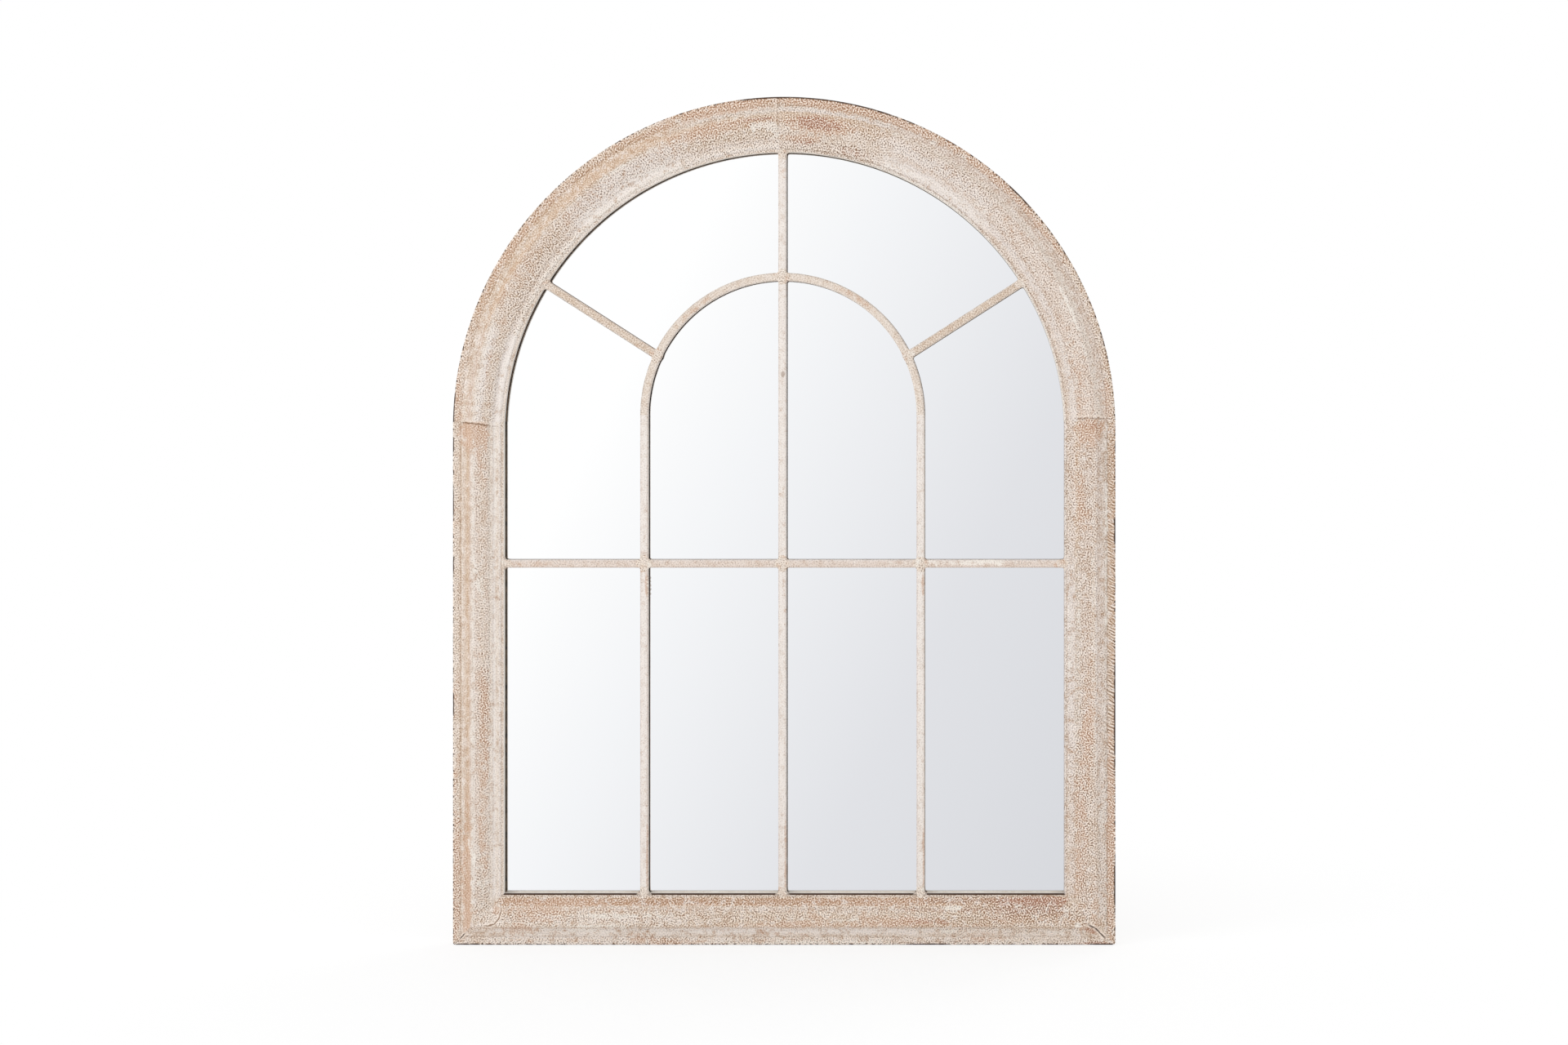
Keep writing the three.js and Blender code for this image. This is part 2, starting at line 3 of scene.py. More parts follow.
import bmesh
import bpy
import mathutils
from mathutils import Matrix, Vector


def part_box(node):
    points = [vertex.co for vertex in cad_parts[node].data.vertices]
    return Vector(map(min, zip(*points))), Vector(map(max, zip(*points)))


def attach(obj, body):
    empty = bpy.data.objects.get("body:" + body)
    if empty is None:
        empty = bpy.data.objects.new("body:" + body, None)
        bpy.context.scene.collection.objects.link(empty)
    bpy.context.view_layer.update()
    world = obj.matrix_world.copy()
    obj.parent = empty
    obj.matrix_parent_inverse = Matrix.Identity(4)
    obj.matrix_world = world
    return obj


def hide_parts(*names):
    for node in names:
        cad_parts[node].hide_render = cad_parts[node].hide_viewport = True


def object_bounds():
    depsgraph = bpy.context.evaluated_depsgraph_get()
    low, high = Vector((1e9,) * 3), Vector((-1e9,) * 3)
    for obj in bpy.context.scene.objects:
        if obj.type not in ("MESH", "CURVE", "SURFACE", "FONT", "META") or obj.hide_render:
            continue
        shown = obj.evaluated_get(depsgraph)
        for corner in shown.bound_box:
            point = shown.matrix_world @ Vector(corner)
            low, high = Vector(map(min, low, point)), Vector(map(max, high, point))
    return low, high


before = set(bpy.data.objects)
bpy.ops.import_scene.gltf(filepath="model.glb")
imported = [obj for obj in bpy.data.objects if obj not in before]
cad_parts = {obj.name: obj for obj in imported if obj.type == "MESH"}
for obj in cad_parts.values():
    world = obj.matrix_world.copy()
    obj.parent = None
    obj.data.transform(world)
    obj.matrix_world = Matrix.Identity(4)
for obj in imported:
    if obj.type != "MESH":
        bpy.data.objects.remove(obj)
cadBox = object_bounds()

mm = 0.001
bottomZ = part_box("bottom_rail")[0].z  # heights below are counted from the bottom edge

frameSizes = {
    "halfWidth": 345 * mm,
    "springHeight": 538.5 * mm,
    "stileHeight": 545 * mm,
    "crownGrowth": 4.5 / 53.5,  # how far the arch's lines drop for each unit of inset
    "crownSeam": -5 * mm,
    "sightEdge": 53.5 * mm,
    "midRadius": 318 * mm,  # lengths along the arch are measured here
    "handWobble": 0.3 * mm,
    "chips": 0.8 * mm,  # how deep the outer corner is knocked about
    "cornerWear": 3.2 * mm,
}


def srgb(red, green, blue):
    def linear(value):
        value /= 255
        return value / 12.92 if value <= 0.04045 else ((value + 0.055) / 1.055) ** 2.4
    return (linear(red), linear(green), linear(blue), 1.0)


def feed(tree, socket, value):
    if isinstance(value, bpy.types.NodeSocket):
        tree.links.new(value, socket)
    else:
        socket.default_value = value


def add(tree, kind, inputs=None, **settings):
    made = tree.nodes.new(kind)
    for name, value in settings.items():
        setattr(made, name, value)
    for key, value in (inputs or {}).items():
        feed(tree, made.inputs[key], value)
    return made


def calc(tree, operation, *values, clamp=False):
    made = add(tree, "ShaderNodeMath", operation=operation, use_clamp=clamp)
    for i, value in enumerate(values):
        feed(tree, made.inputs[i], value)
    return made.outputs[0]


def plus(tree, a, b):
    return calc(tree, "ADD", a, b)


def minus(tree, a, b):
    return calc(tree, "SUBTRACT", a, b)


def times(tree, a, b, clamp=False):
    return calc(tree, "MULTIPLY", a, b, clamp=clamp)


def over(tree, a, b):
    return calc(tree, "DIVIDE", a, b)


def timesPlus(tree, a, b, c):
    return calc(tree, "MULTIPLY_ADD", a, b, c)


def length2d(tree, a, b):
    return calc(tree, "SQRT", plus(tree, times(tree, a, a), times(tree, b, b)))


def noiseOf(tree, place, scale, detail=2.0, roughness=0.5, distortion=0.0):
    return add(tree, "ShaderNodeTexNoise", {
        "Vector": place, "Scale": scale, "Detail": detail, "Roughness": roughness,
        "Distortion": distortion}).outputs["Fac"]


def partsOf(tree, vectorSocket):
    return add(tree, "ShaderNodeSeparateXYZ", {0: vectorSocket}).outputs


def vectorOf(tree, x=0.0, y=0.0, z=0.0):
    return add(tree, "ShaderNodeCombineXYZ", {"X": x, "Y": y, "Z": z}).outputs[0]


def smoothRange(tree, value, low, high, toLow=0.0, toHigh=1.0, curve="SMOOTHSTEP"):
    made = add(tree, "ShaderNodeMapRange", interpolation_type=curve)
    for key, item in zip(("Value", "From Min", "From Max", "To Min", "To Max"),
                         (value, low, high, toLow, toHigh)):
        feed(tree, made.inputs[key], item)
    return made.outputs[0]


def mixColor(tree, factor, first, second, blend="MIX"):
    made = add(tree, "ShaderNodeMix", data_type="RGBA", blend_type=blend)
    feed(tree, made.inputs[0], factor)
    feed(tree, made.inputs[6], first)
    feed(tree, made.inputs[7], second)
    return made.outputs[2]


def ramp(tree, factor, stops):
    made = add(tree, "ShaderNodeValToRGB", {"Fac": factor})
    elements = made.color_ramp.elements
    while len(elements) < len(stops):
        elements.new(0.5)
    for element, (place, color) in zip(elements, stops):
        element.position = place
        element.color = color
    return made.outputs[0]


def newTree(name, kind, inputs, outputs):
    tree = bpy.data.node_groups.new(name, kind)
    for label, socketType, value in inputs:
        socket = tree.interface.new_socket(label, in_out="INPUT", socket_type=socketType)
        if value is not None:
            socket.default_value = value
    for label, socketType in outputs:
        tree.interface.new_socket(label, in_out="OUTPUT", socket_type=socketType)
    into = tree.nodes.new("NodeGroupInput").outputs
    out = tree.nodes.new("NodeGroupOutput").inputs
    return tree, into, out


def useGroup(tree, group, inputs):  # a shader group placed in a material, with its own values
    made = tree.nodes.new("ShaderNodeGroup")
    made.node_tree = group
    for key, value in inputs.items():
        feed(tree, made.inputs[key], value)
    return made.outputs


def newMaterial(name):
    material = bpy.data.materials.new(name)
    material.use_nodes = True
    tree = material.node_tree
    return material, tree, tree.nodes["Principled BSDF"]


number = "NodeSocketFloat"
vector = "NodeSocketVector"
geometrySocket = "NodeSocketGeometry"

paintTones = {
    "barCream": (236, 227, 218), "chalk": (243, 237, 228), "paleCream": (233, 222, 211),
    "cream": (227, 214, 201), "warmCream": (221, 205, 190), "pinkCream": (217, 201, 188),
    "greyCream": (212, 201, 190), "lilac": (226, 217, 211), "sand": (213, 194, 175), "tan": (204, 178, 152),
    "rust": (194, 155, 122), "mauve": (208, 190, 177), "russet": (184, 140, 106), "sienna": (166, 118, 86),
    "brown": (178, 148, 120), "paleClay": (203, 168, 142), "clay": (190, 132, 98),
    "deepClay": (160, 100, 70), "umber": (140, 111, 88), "darkUmber": (74, 54, 42), "pit": (104, 76, 54),
    "crest": (249, 235, 222), "worn": (180, 146, 118), "bloom": (240, 230, 224), "blush": (223, 208, 197),
    "pearl": (239, 232, 226), "ochre": (213, 186, 161), "bareWood": (196, 160, 120),
    # paintedShade is no wood tone: near black painted shade for shaded walls, sides and backs
    "agedWood": (158, 118, 80), "paintedShade": (24, 17, 12),
}
tones = {name: srgb(*tone) for name, tone in paintTones.items()}


def makeSoftPatch():
    # one brushed or worn area with a ragged border, placed by length along and inset, in mm
    tree, into, out = newTree("softPatch", "ShaderNodeTree", [
        ("Along", number, 0.0), ("Inset", number, 0.0), ("Ragged", number, 0.0),
        ("Centre Along", number, 0.0), ("Centre Inset", number, 0.0),
        ("Length", number, 20.0), ("Breadth", number, 5.0), ("Softness", number, 0.5),
    ], [("Mask", number)])
    a = over(tree, minus(tree, into["Along"], into["Centre Along"]), into["Length"])
    b = over(tree, minus(tree, into["Inset"], into["Centre Inset"]), into["Breadth"])
    reach = length2d(tree, a, b)
    reach = timesPlus(tree, into["Ragged"], 2.4, reach)
    inner = minus(tree, 1.0, into["Softness"])
    outer = plus(tree, 1.0, into["Softness"])
    feed(tree, out["Mask"], smoothRange(tree, reach, inner, outer, 1.0, 0.0))
    return tree


def makeStipple():
    # the fine wormy stipple of dried limewash, about 0 with a spread of 1; slanted strokes where hatched
    tree, into, out = newTree("stipple", "ShaderNodeTree", [
        ("Sheet", vector, None), ("Wave", number, 2.8), ("Hatch", number, 0.0),
    ], [("Value", number)])
    wave = over(tree, 1.0, into["Wave"])
    worms = add(tree, "ShaderNodeTexGabor", {
        "Vector": into["Sheet"], "Scale": over(tree, wave, 1.4), "Frequency": 1.4, "Anisotropy": 0.0})
    strokes = add(tree, "ShaderNodeTexGabor", {
        "Vector": into["Sheet"], "Scale": over(tree, wave, 2.0), "Frequency": 1.7, "Anisotropy": 0.93,
        4: math.radians(-28)})
    fine = noiseOf(tree, into["Sheet"], 1.2, 1.0)
    mixed = add(tree, "ShaderNodeMix", {
        0: into["Hatch"], 2: worms.outputs["Value"], 3: strokes.outputs["Value"]}, data_type="FLOAT").outputs[0]
    worm = times(tree, minus(tree, mixed, 0.5), 6.0)
    feed(tree, out["Value"], timesPlus(tree, minus(tree, fine, 0.5), 5.5, worm))
    return tree


def makeBrushStreaks():
    # long streaks that a brush leaves along a member
    tree, into, out = newTree("brushStreaks", "ShaderNodeTree", [
        ("Along", number, 0.0), ("Inset", number, 0.0), ("Run", number, 60.0),
        ("Breadth", number, 2.0), ("Seed", number, 0.0),
    ], [("Value", number)])
    place = vectorOf(tree, over(tree, into["Along"], into["Run"]),
                     over(tree, into["Inset"], into["Breadth"]), into["Seed"])
    feed(tree, out["Value"], noiseOf(tree, place, 1.0, 3.0, 0.6, 0.4))
    return tree


def makeCrackArc():
    # a thin crack that follows part of a circle; x and height above the bottom edge, in mm
    tree, into, out = newTree("crackArc", "ShaderNodeTree", [
        ("X", number, 0.0), ("Z", number, 0.0), ("Centre X", number, 0.0), ("Centre Z", number, 0.0),
        ("Radius", number, 20.0), ("Breadth", number, 0.6), ("Ragged", number, 0.0),
    ], [("Line", number), ("Lips", number)])
    dx = minus(tree, into["X"], into["Centre X"])
    dz = minus(tree, into["Z"], into["Centre Z"])
    reach = length2d(tree, dx, dz)
    reach = timesPlus(tree, into["Ragged"], 5.0, reach)
    off = calc(tree, "ABSOLUTE", minus(tree, reach, into["Radius"]))
    wide = times(tree, into["Breadth"], 3.2)
    feed(tree, out["Line"], smoothRange(tree, off, into["Breadth"], times(tree, into["Breadth"], 0.3)))
    feed(tree, out["Lips"], smoothRange(tree, off, wide, into["Breadth"]))
    return tree


softPatch = makeSoftPatch()
stippleGroup = makeStipple()
brushStreaks = makeBrushStreaks()
crackArc = makeCrackArc()


limewashSizes = {
    "stippleWave": 2.5,  # mm from one worm of the stipple to the next
    "mottle": 0.17,  # blotches to a mm
    "streakRun": 34.0,
    "streakBreadth": 1.4,
    # how strongly the stipple's pits are darkened and its crests lightened, partly painted shade and painted
    # highlight
    "pits": 0.47,
    "crests": 0.72,
}


def makeLimewash():
    # whitewash brushed over a clay coloured ground and rubbed back, with its stipple
    tree, into, out = newTree("limewash", "ShaderNodeTree", [
        ("Place", vector, None), ("Along", number, 0.0), ("Inset", number, 0.0), ("Lift", number, 0.0),
        ("Ground", "NodeSocketColor", None), ("Clay", number, 0.0), ("Deep", number, 0.0),
        ("Chalk", number, 0.0), ("Grain", number, 0.5), ("Hatch", number, 0.0), ("Streak", number, 0.4),
        ("Mottle", number, 1.0), ("Seed", number, 0.0),
    ], [("Color", "NodeSocketColor"), ("Height", number)])
    sheet = vectorOf(tree, timesPlus(tree, into["Seed"], 130.0, into["Along"]),
                     minus(tree, into["Inset"], into["Lift"]))
    stipple = useGroup(tree, stippleGroup, {
        "Sheet": sheet, "Wave": limewashSizes["stippleWave"], "Hatch": into["Hatch"]})["Value"]
    middle = noiseOf(tree, into["Place"], limewashSizes["mottle"], 5.0, 0.72)
    spread = timesPlus(tree, stipple, -0.05, times(tree, minus(tree, middle, 0.5), 1.9))
    clayHere = smoothRange(tree, plus(tree, into["Clay"], spread), 0.25, 1.0)
    deepHere = smoothRange(tree, plus(tree, into["Deep"], spread), 0.3, 0.9)
    chalkHere = smoothRange(tree, minus(tree, into["Chalk"], spread), 0.35, 0.85)
    fine = useGroup(tree, brushStreaks, {
        "Along": into["Along"], "Inset": into["Inset"], "Run": limewashSizes["streakRun"],
        "Breadth": limewashSizes["streakBreadth"], "Seed": into["Seed"]})["Value"]
    streak = times(tree, minus(tree, fine, 0.5), into["Streak"])

    mottle = times(tree, minus(tree, middle, 0.5), into["Mottle"])
    color = mixColor(tree, times(tree, mottle, 2.2, clamp=True), into["Ground"], tones["worn"])
    color = mixColor(tree, times(tree, mottle, -2.6, clamp=True), color, tones["bloom"])
    color = mixColor(tree, times(tree, clayHere, 0.7), color, tones["paleClay"])
    color = mixColor(tree, times(tree, deepHere, 0.8), color, tones["deepClay"])
    color = mixColor(tree, times(tree, chalkHere, 0.85), color, tones["chalk"])
    color = mixColor(tree, times(tree, streak, 2.2, clamp=True), color, tones["chalk"])
    color = mixColor(tree, times(tree, streak, -2.4, clamp=True), color, tones["umber"])
    # the stipple's pits darkened and its crests lightened: the paint's own speckle together with painted shade
    # in the pits and painted highlight on the crests
    pit = mixColor(tree, times(tree, clayHere, 0.4), tones["pit"], tones["deepClay"])
    weight = times(tree, into["Grain"], timesPlus(tree, chalkHere, -0.35, 1.0))
    sink = times(tree, times(tree, stipple, -limewashSizes["pits"]), weight, clamp=True)
    color = mixColor(tree, sink, color, pit)
    rise = times(tree, times(tree, stipple, limewashSizes["crests"]), weight, clamp=True)
    color = mixColor(tree, rise, color, tones["crest"])
    feed(tree, out["Color"], color)
    height = times(tree, stipple, times(tree, into["Grain"], 0.12))
    height = timesPlus(tree, chalkHere, 0.5, height)
    feed(tree, out["Height"], timesPlus(tree, streak, 1.0, height))
    return tree


limewash = makeLimewash()


rampWidth = 54.0  # mm of inset over which the bands of tone are spread
frameFinish = {
    "raggedness": 0.16,  # ragged borders to a mm
    "cloudRun": 52.0,
    "cloudBreadth": 13.0,
    "wander": 3.0,  # mm by which the bands wander
    "zoneWander": 60.0,  # the same for the ends of the zones
    "paintTop": 20.5,  # height in mm above which the stipple lies flat on the front
    "backEdge": (11.0, 10.2),  # height in mm at which the paint stops on the inside
    "quirks": ((8.6, 0.8), (50.6, 0.7)),  # inset and half width of the two fine grooves
}
grainScale = 2.0  # the ramps hold the grain at half its value, because they stop at 1


def bandStops(bands):
    return [(inset / rampWidth, tones[tone]) for inset, tone in bands]


def weightStops(weights, share=1.0):
    return [(inset / rampWidth, (*[value * share] * 3, 1.0)) for inset, value in weights]


clayByInset = [(0, 0.9), (7, 1.0), (9, 0.4), (12, 0.7), (18, 0.5), (21, 0.3), (26, 0.8),
               (37, 0.8), (41, 0.3), (45, 0.3), (49, 0.45), (51, 0.4), (54, 0.2)]


def total(tree, values):
    result = 0.0
    for value in values:
        result = value if result == 0.0 else plus(tree, result, value)
    return result


def placeInMm(tree, foot=0.0):
    # x, height above the frame's back, height above the foot, and the three as one vector
    place = partsOf(tree, add(tree, "ShaderNodeTexCoord").outputs["Object"])
    x = times(tree, place[0], 1000.0)
    height = times(tree, place[1], -1000.0)
    z = times(tree, minus(tree, place[2], foot), 1000.0)
    return x, height, z, vectorOf(tree, x, height, z)


def sheetInMm(tree):
    # length along the piece and inset across it, which the sweeps leave in the UV map
    uv = partsOf(tree, add(tree, "ShaderNodeTexCoord").outputs["UV"])
    return times(tree, uv[0], 1000.0), times(tree, uv[1], 1000.0)


def patchMask(tree, place, ragged, middle, length, breadth, softness):
    keys = ("Along", "Inset", "Ragged", "Centre Along", "Centre Inset", "Length", "Breadth", "Softness")
    values = (*place, ragged, *middle, length, breadth, softness)
    return useGroup(tree, softPatch, {
        key: float(value) if isinstance(value, int) else value for key, value in zip(keys, values)})["Mask"]


def addPatches(tree, sums, patches, along, inset, ragged):
    # kind, middle along, middle inset, length, breadth, softness, strength
    for kind, middleAlong, middleInset, length, breadth, softness, strength in patches:
        mask = patchMask(tree, (along, inset), ragged, (middleAlong, middleInset), length, breadth, softness)
        sums[kind].append(times(tree, mask, strength))


def matt(tree, surface, color, height, roughness, strength, depth):  # a dry painted surface with relief
    feed(tree, surface.inputs["Base Color"], color)
    surface.inputs["Roughness"].default_value = roughness
    surface.inputs["Specular IOR Level"].default_value = 0.25
    relief = add(tree, "ShaderNodeBump", {"Strength": strength, "Distance": depth, "Height": height})
    feed(tree, surface.inputs["Normal"], relief.outputs[0])


def whitewash(name, look):
    material, tree, surface = newMaterial(name)
    sizes = frameFinish
    along, inset = sheetInMm(tree)
    x, height, z, inMm = placeInMm(tree, bottomZ)

    ragged = minus(tree, noiseOf(tree, inMm, sizes["raggedness"], 4.0, 0.65), 0.5)
    stretched = vectorOf(tree, over(tree, along, sizes["cloudRun"]), over(tree, inset, sizes["cloudBreadth"]),
                         look["seed"])
    cloud = noiseOf(tree, stretched, 1.0, 4.0, 0.62, 0.5)

    # bands of tone across the moulding, brushed by hand, so they wander a little; besides the paint's own bands
    # they hold painted light and shade of the profile, darker in the coves and paler on faces the lamps leave in
    # shade
    wander = timesPlus(tree, ragged, sizes["wander"], inset)
    across = over(tree, wander, rampWidth)
    straight = over(tree, inset, rampWidth)
    ground = ramp(tree, across, bandStops(look["bands"]))
    grain = ramp(tree, straight, weightStops(look["grains"], 1 / grainScale))
    for zone in look.get("zones", []):
        share = smoothRange(tree, timesPlus(tree, ragged, sizes["zoneWander"], along), *zone["span"])
        ground = mixColor(tree, share, ground, ramp(tree, across, bandStops(zone["bands"])))
        zoneGrain = ramp(tree, straight, weightStops(zone["grains"], 1 / grainScale))
        grain = mixColor(tree, share, grain, zoneGrain)

    rubbed = times(tree, smoothRange(tree, cloud, 0.44, 0.68), ramp(tree, across, weightStops(clayByInset)))
    sums = {"clay": [times(tree, rubbed, look["clay"])],
            "chalk": [times(tree, smoothRange(tree, cloud, 0.48, 0.3), look["chalk"])],
            "tan": [], "deep": [], "hatch": [], "rough": [1.0]}
    addPatches(tree, sums, look["patches"], along, inset, ragged)

    # filler rubbed over the corners
    for middleX, middleZ, length, breadth, tone in look.get("corners", []):
        mask = patchMask(tree, (x, z), ragged, (middleX, middleZ), length, breadth, 0.3)
        ground = mixColor(tree, mask, ground, tones[tone])
    if sums["tan"]:
        ground = mixColor(tree, total(tree, sums["tan"]), ground, tones["rust"])

    grain = times(tree, grain, total(tree, sums["rough"]))
    paint = useGroup(tree, limewash, {
        "Place": inMm, "Along": along, "Inset": inset, "Lift": calc(tree, "MINIMUM", height, sizes["paintTop"]),
        "Ground": ground, "Grain": times(tree, grain, grainScale), "Streak": look["streak"],
        "Mottle": look["mottle"], "Seed": look["seed"],
        **{kind.title(): total(tree, sums[kind]) for kind in ("clay", "deep", "chalk", "hatch")}})
    color, bump = paint["Color"], paint["Height"]

    for seam in look.get("seams", []):
        # off the seam and along it, both in mm
        off, run = (x, z) if seam["way"] == "upright" else (z, x)
        off = timesPlus(tree, run, -seam["slope"], off)
        off = timesPlus(tree, ragged, seam["ragged"], minus(tree, off, seam["place"]))
        broken = smoothRange(tree, noiseOf(tree, inMm, 0.3), 0.34, 0.46)
        line = times(tree, broken, smoothRange(
            tree, calc(tree, "ABSOLUTE", off), seam["breadth"], seam["breadth"] * 0.3))
        pale = smoothRange(tree, calc(tree, "ABSOLUTE", plus(tree, off, seam["pale"])), 1.6, 0.3)
        within = patchMask(tree, (run, 0.0), ragged, (seam["middle"], 0.0), seam["reach"], 50.0, 0.3)
        line = times(tree, line, within)
        pale = times(tree, times(tree, pale, within), 0.35)
        color = mixColor(tree, pale, color, tones["crest"])
        color = mixColor(tree, times(tree, line, seam["strength"]), color, tones[seam["tone"]])
        bump = minus(tree, bump, line)

    # painted shade in the quirks, and dark wood broken out along the outer corner
    speck = noiseOf(tree, inMm, 0.34)
    broken = smoothRange(tree, speck, 0.4, 0.6, 0.1, 1.0)
    for (centre, halfWidth), amount in zip(sizes["quirks"], look["quirks"]):
        near = smoothRange(tree, calc(tree, "ABSOLUTE", minus(tree, inset, centre)),
                           halfWidth * 1.6, halfWidth * 0.4)
        color = mixColor(tree, times(tree, times(tree, near, broken), amount), color, tones["umber"])
    solid = total(tree, [patchMask(tree, (along, 0.0), ragged, (middle, 0.0), length, 50.0, 0.3)
                         for middle, length in look["darkRuns"]])
    corner = times(tree, smoothRange(tree, timesPlus(tree, ragged, 2.4, inset), 2.1, 0.9),
                   smoothRange(tree, height, 13.0, 17.5))
    corner = times(tree, corner, calc(
        tree, "MAXIMUM", smoothRange(tree, speck, look["edge"], look["edge"] + 0.07), solid))
    color = mixColor(tree, corner, color, tones["darkUmber"])
    # painted shade: a thin dark line on the lip at the sight edge, where the gap over the glass shows dark
    if look["sightShadeLine"][1]:
        start, strength = look["sightShadeLine"]
        thin = times(tree, smoothRange(tree, inset, start, start + 0.4),
                     smoothRange(tree, broken, 0.0, 0.6, 0.6, 1.0))
        color = mixColor(tree, times(tree, thin, strength, clamp=True), color, tones["darkUmber"])

    for crack in look.get("cracks", []):
        made = useGroup(tree, crackArc, {
            "X": x, "Z": z, "Centre X": float(crack["centre"][0]), "Centre Z": float(crack["centre"][1]),
            "Radius": float(crack["radius"]), "Breadth": float(crack["breadth"]), "Ragged": ragged})
        within = patchMask(tree, (x, z), 0.0, crack["middle"], crack["reach"], crack["reach"], 0.25)
        lips = times(tree, made["Lips"], within)
        line = times(tree, made["Line"], within)
        color = mixColor(tree, times(tree, lips, 0.75), color, tones["crest"])
        color = mixColor(tree, times(tree, line, 0.9), color, tones[crack["tone"]])
        bump = plus(tree, bump, times(tree, lips, 0.5))
        bump = minus(tree, bump, times(tree, line, 1.4))

    # the sight edge's wall: painted light on its upper part and painted shade, near black, at its foot;
    # unpainted wood on the rebate and the back
    wall = smoothRange(tree, inset, 52.7, 53.3)
    # painted light: chalk on the wall's upper part under the lip, lightening it where it stands in shade
    lipTop = look.get("lipTop", 22.0)
    paintedWallLight = smoothRange(tree, height, lipTop, lipTop - 0.8)
    color = mixColor(tree, times(tree, times(tree, wall, paintedWallLight), look["lip"]), color, tones["chalk"])
    # painted shade: the wall's foot darkened to near black, standing in for the shade in the gap over the glass
    paintedSightShade = times(tree, wall, smoothRange(
        tree, timesPlus(tree, ragged, 1.5, height), look["foot"] + 0.5, look["foot"]))
    color = mixColor(tree, paintedSightShade, color, tones["paintedShade"])
    behind = times(tree, smoothRange(tree, inset, 0.1, 0.4),
                   smoothRange(tree, timesPlus(tree, ragged, 3.0, height), *sizes["backEdge"]))
    grainLines = useGroup(tree, brushStreaks, {"Along": along, "Inset": plus(tree, inset, height),
                                               "Run": 90.0, "Breadth": 1.6, "Seed": 8.0})["Value"]
    bareWoodAndShade = mixColor(tree, smoothRange(tree, grainLines, 0.35, 0.7), tones["bareWood"], tones["agedWood"])
    color = mixColor(tree, behind, color, bareWoodAndShade)

    matt(tree, surface, color, bump, 0.82, 0.6, 0.4 * mm)
    return material


leftCorners = [(-323, 17, 21, 21, "warmCream"), (-304, 40, 11, 11, "cream")]
rightCorners = [(324, 18, 15, 15, "sand"), (303, 40, 10, 12, "sand")]
leftCrack = {"centre": (-310, 37), "radius": 16.2, "breadth": 1.0, "middle": (-300, 28), "reach": 12.5,
             "tone": "umber"}
leftNick = {"centre": (-295, -29), "radius": 55.5, "breadth": 0.8, "middle": (-333.5, 8.5), "reach": 4,
            "tone": "darkUmber"}
rightSplit = {"centre": (276, -36), "radius": 72, "breadth": 1.3, "middle": (325.5, 14.5), "reach": 11.5,
              "tone": "darkUmber"}
leftSeam = {"way": "level", "place": 502.5, "slope": -0.125, "ragged": 4.0, "breadth": 1.1, "middle": -321,
            "reach": 17, "strength": 0.95, "tone": "umber", "pale": -2.4}
rightSeam = {"way": "level", "place": 548.2, "slope": 0.0, "ragged": 4.0, "breadth": 1.2, "middle": 318,
             "reach": 17, "strength": 0.6, "tone": "umber", "pale": -2.6}
crownSeam = {"way": "upright", "place": -6.6, "slope": 0.0, "ragged": 3.0, "breadth": 0.6, "middle": 868,
             "reach": 15, "strength": 0.6, "tone": "umber", "pale": 2.0}

leftStileLook = {
    "seed": 1.7, "mottle": 1.5, "clay": 0.7, "chalk": 0.5, "edge": 0.52, "streak": 0.42,
    "quirks": (0.3, 0.05), "sightShadeLine": (52.2, 0.0), "lip": 0.9, "foot": 14.8,
    "darkRuns": [(460, 14), (395, 8), (520, 9), (250, 10)],
    "bands": [
        (0, "cream"), (5, "warmCream"), (7.6, "sand"), (8.4, "tan"), (9.4, "warmCream"), (10.6, "cream"),
        (12.6, "warmCream"), (16.5, "tan"), (19.4, "mauve"), (21.6, "paleCream"), (23.6, "barCream"),
        (25.6, "blush"), (33, "warmCream"), (36.5, "pinkCream"), (39, "greyCream"), (41.2, "paleCream"),
        (43.2, "pearl"), (47, "cream"), (49.8, "pearl"), (51.4, "sand"), (52.4, "cream"), (54, "cream")],
    "grains": [
        (0, 1.1), (7, 0.9), (8.6, 0.5), (10, 0.4), (17, 0.35), (20, 0.4), (23, 0.45), (26, 0.85),
        (37, 0.95), (40, 0.55), (43, 0.35), (48, 0.4), (50.4, 0.6), (54, 0.5)],
    "patches": [
        ("tan", 534, 21, 9, 14, 0.4, 0.45), ("clay", 532, 22, 17, 14, 0.35, 0.9),
        ("clay", 512, 31, 32, 8, 0.6, 0.4), ("tan", 330, 14.4, 230, 2.3, 0.5, 0.1),
        ("clay", 66, 16, 85, 5.5, 0.4, 0.7), ("tan", 66, 16, 90, 5, 0.5, 0.5),
        ("chalk", 66, 31, 52, 10, 0.6, 0.4), ("clay", 247, 34, 40, 6, 0.6, 0.7),
        ("rough", 247, 34, 46, 6, 0.5, 0.6), ("tan", 240, 35, 34, 3, 0.5, 0.4),
        ("clay", 150, 33, 60, 6, 0.7, 0.5), ("rough", 40, 26, 50, 28, 0.5, 0.35),
        ("rough", 80, 4, 80, 5, 0.5, 0.3), ("clay", 70, 4, 80, 4.5, 0.5, 0.8),
        ("chalk", 380, 30, 30, 6, 0.7, 0.4), ("chalk", 480, 45, 50, 4, 0.6, 0.4)],
    "corners": leftCorners, "cracks": [leftCrack, leftNick], "seams": [leftSeam],
}

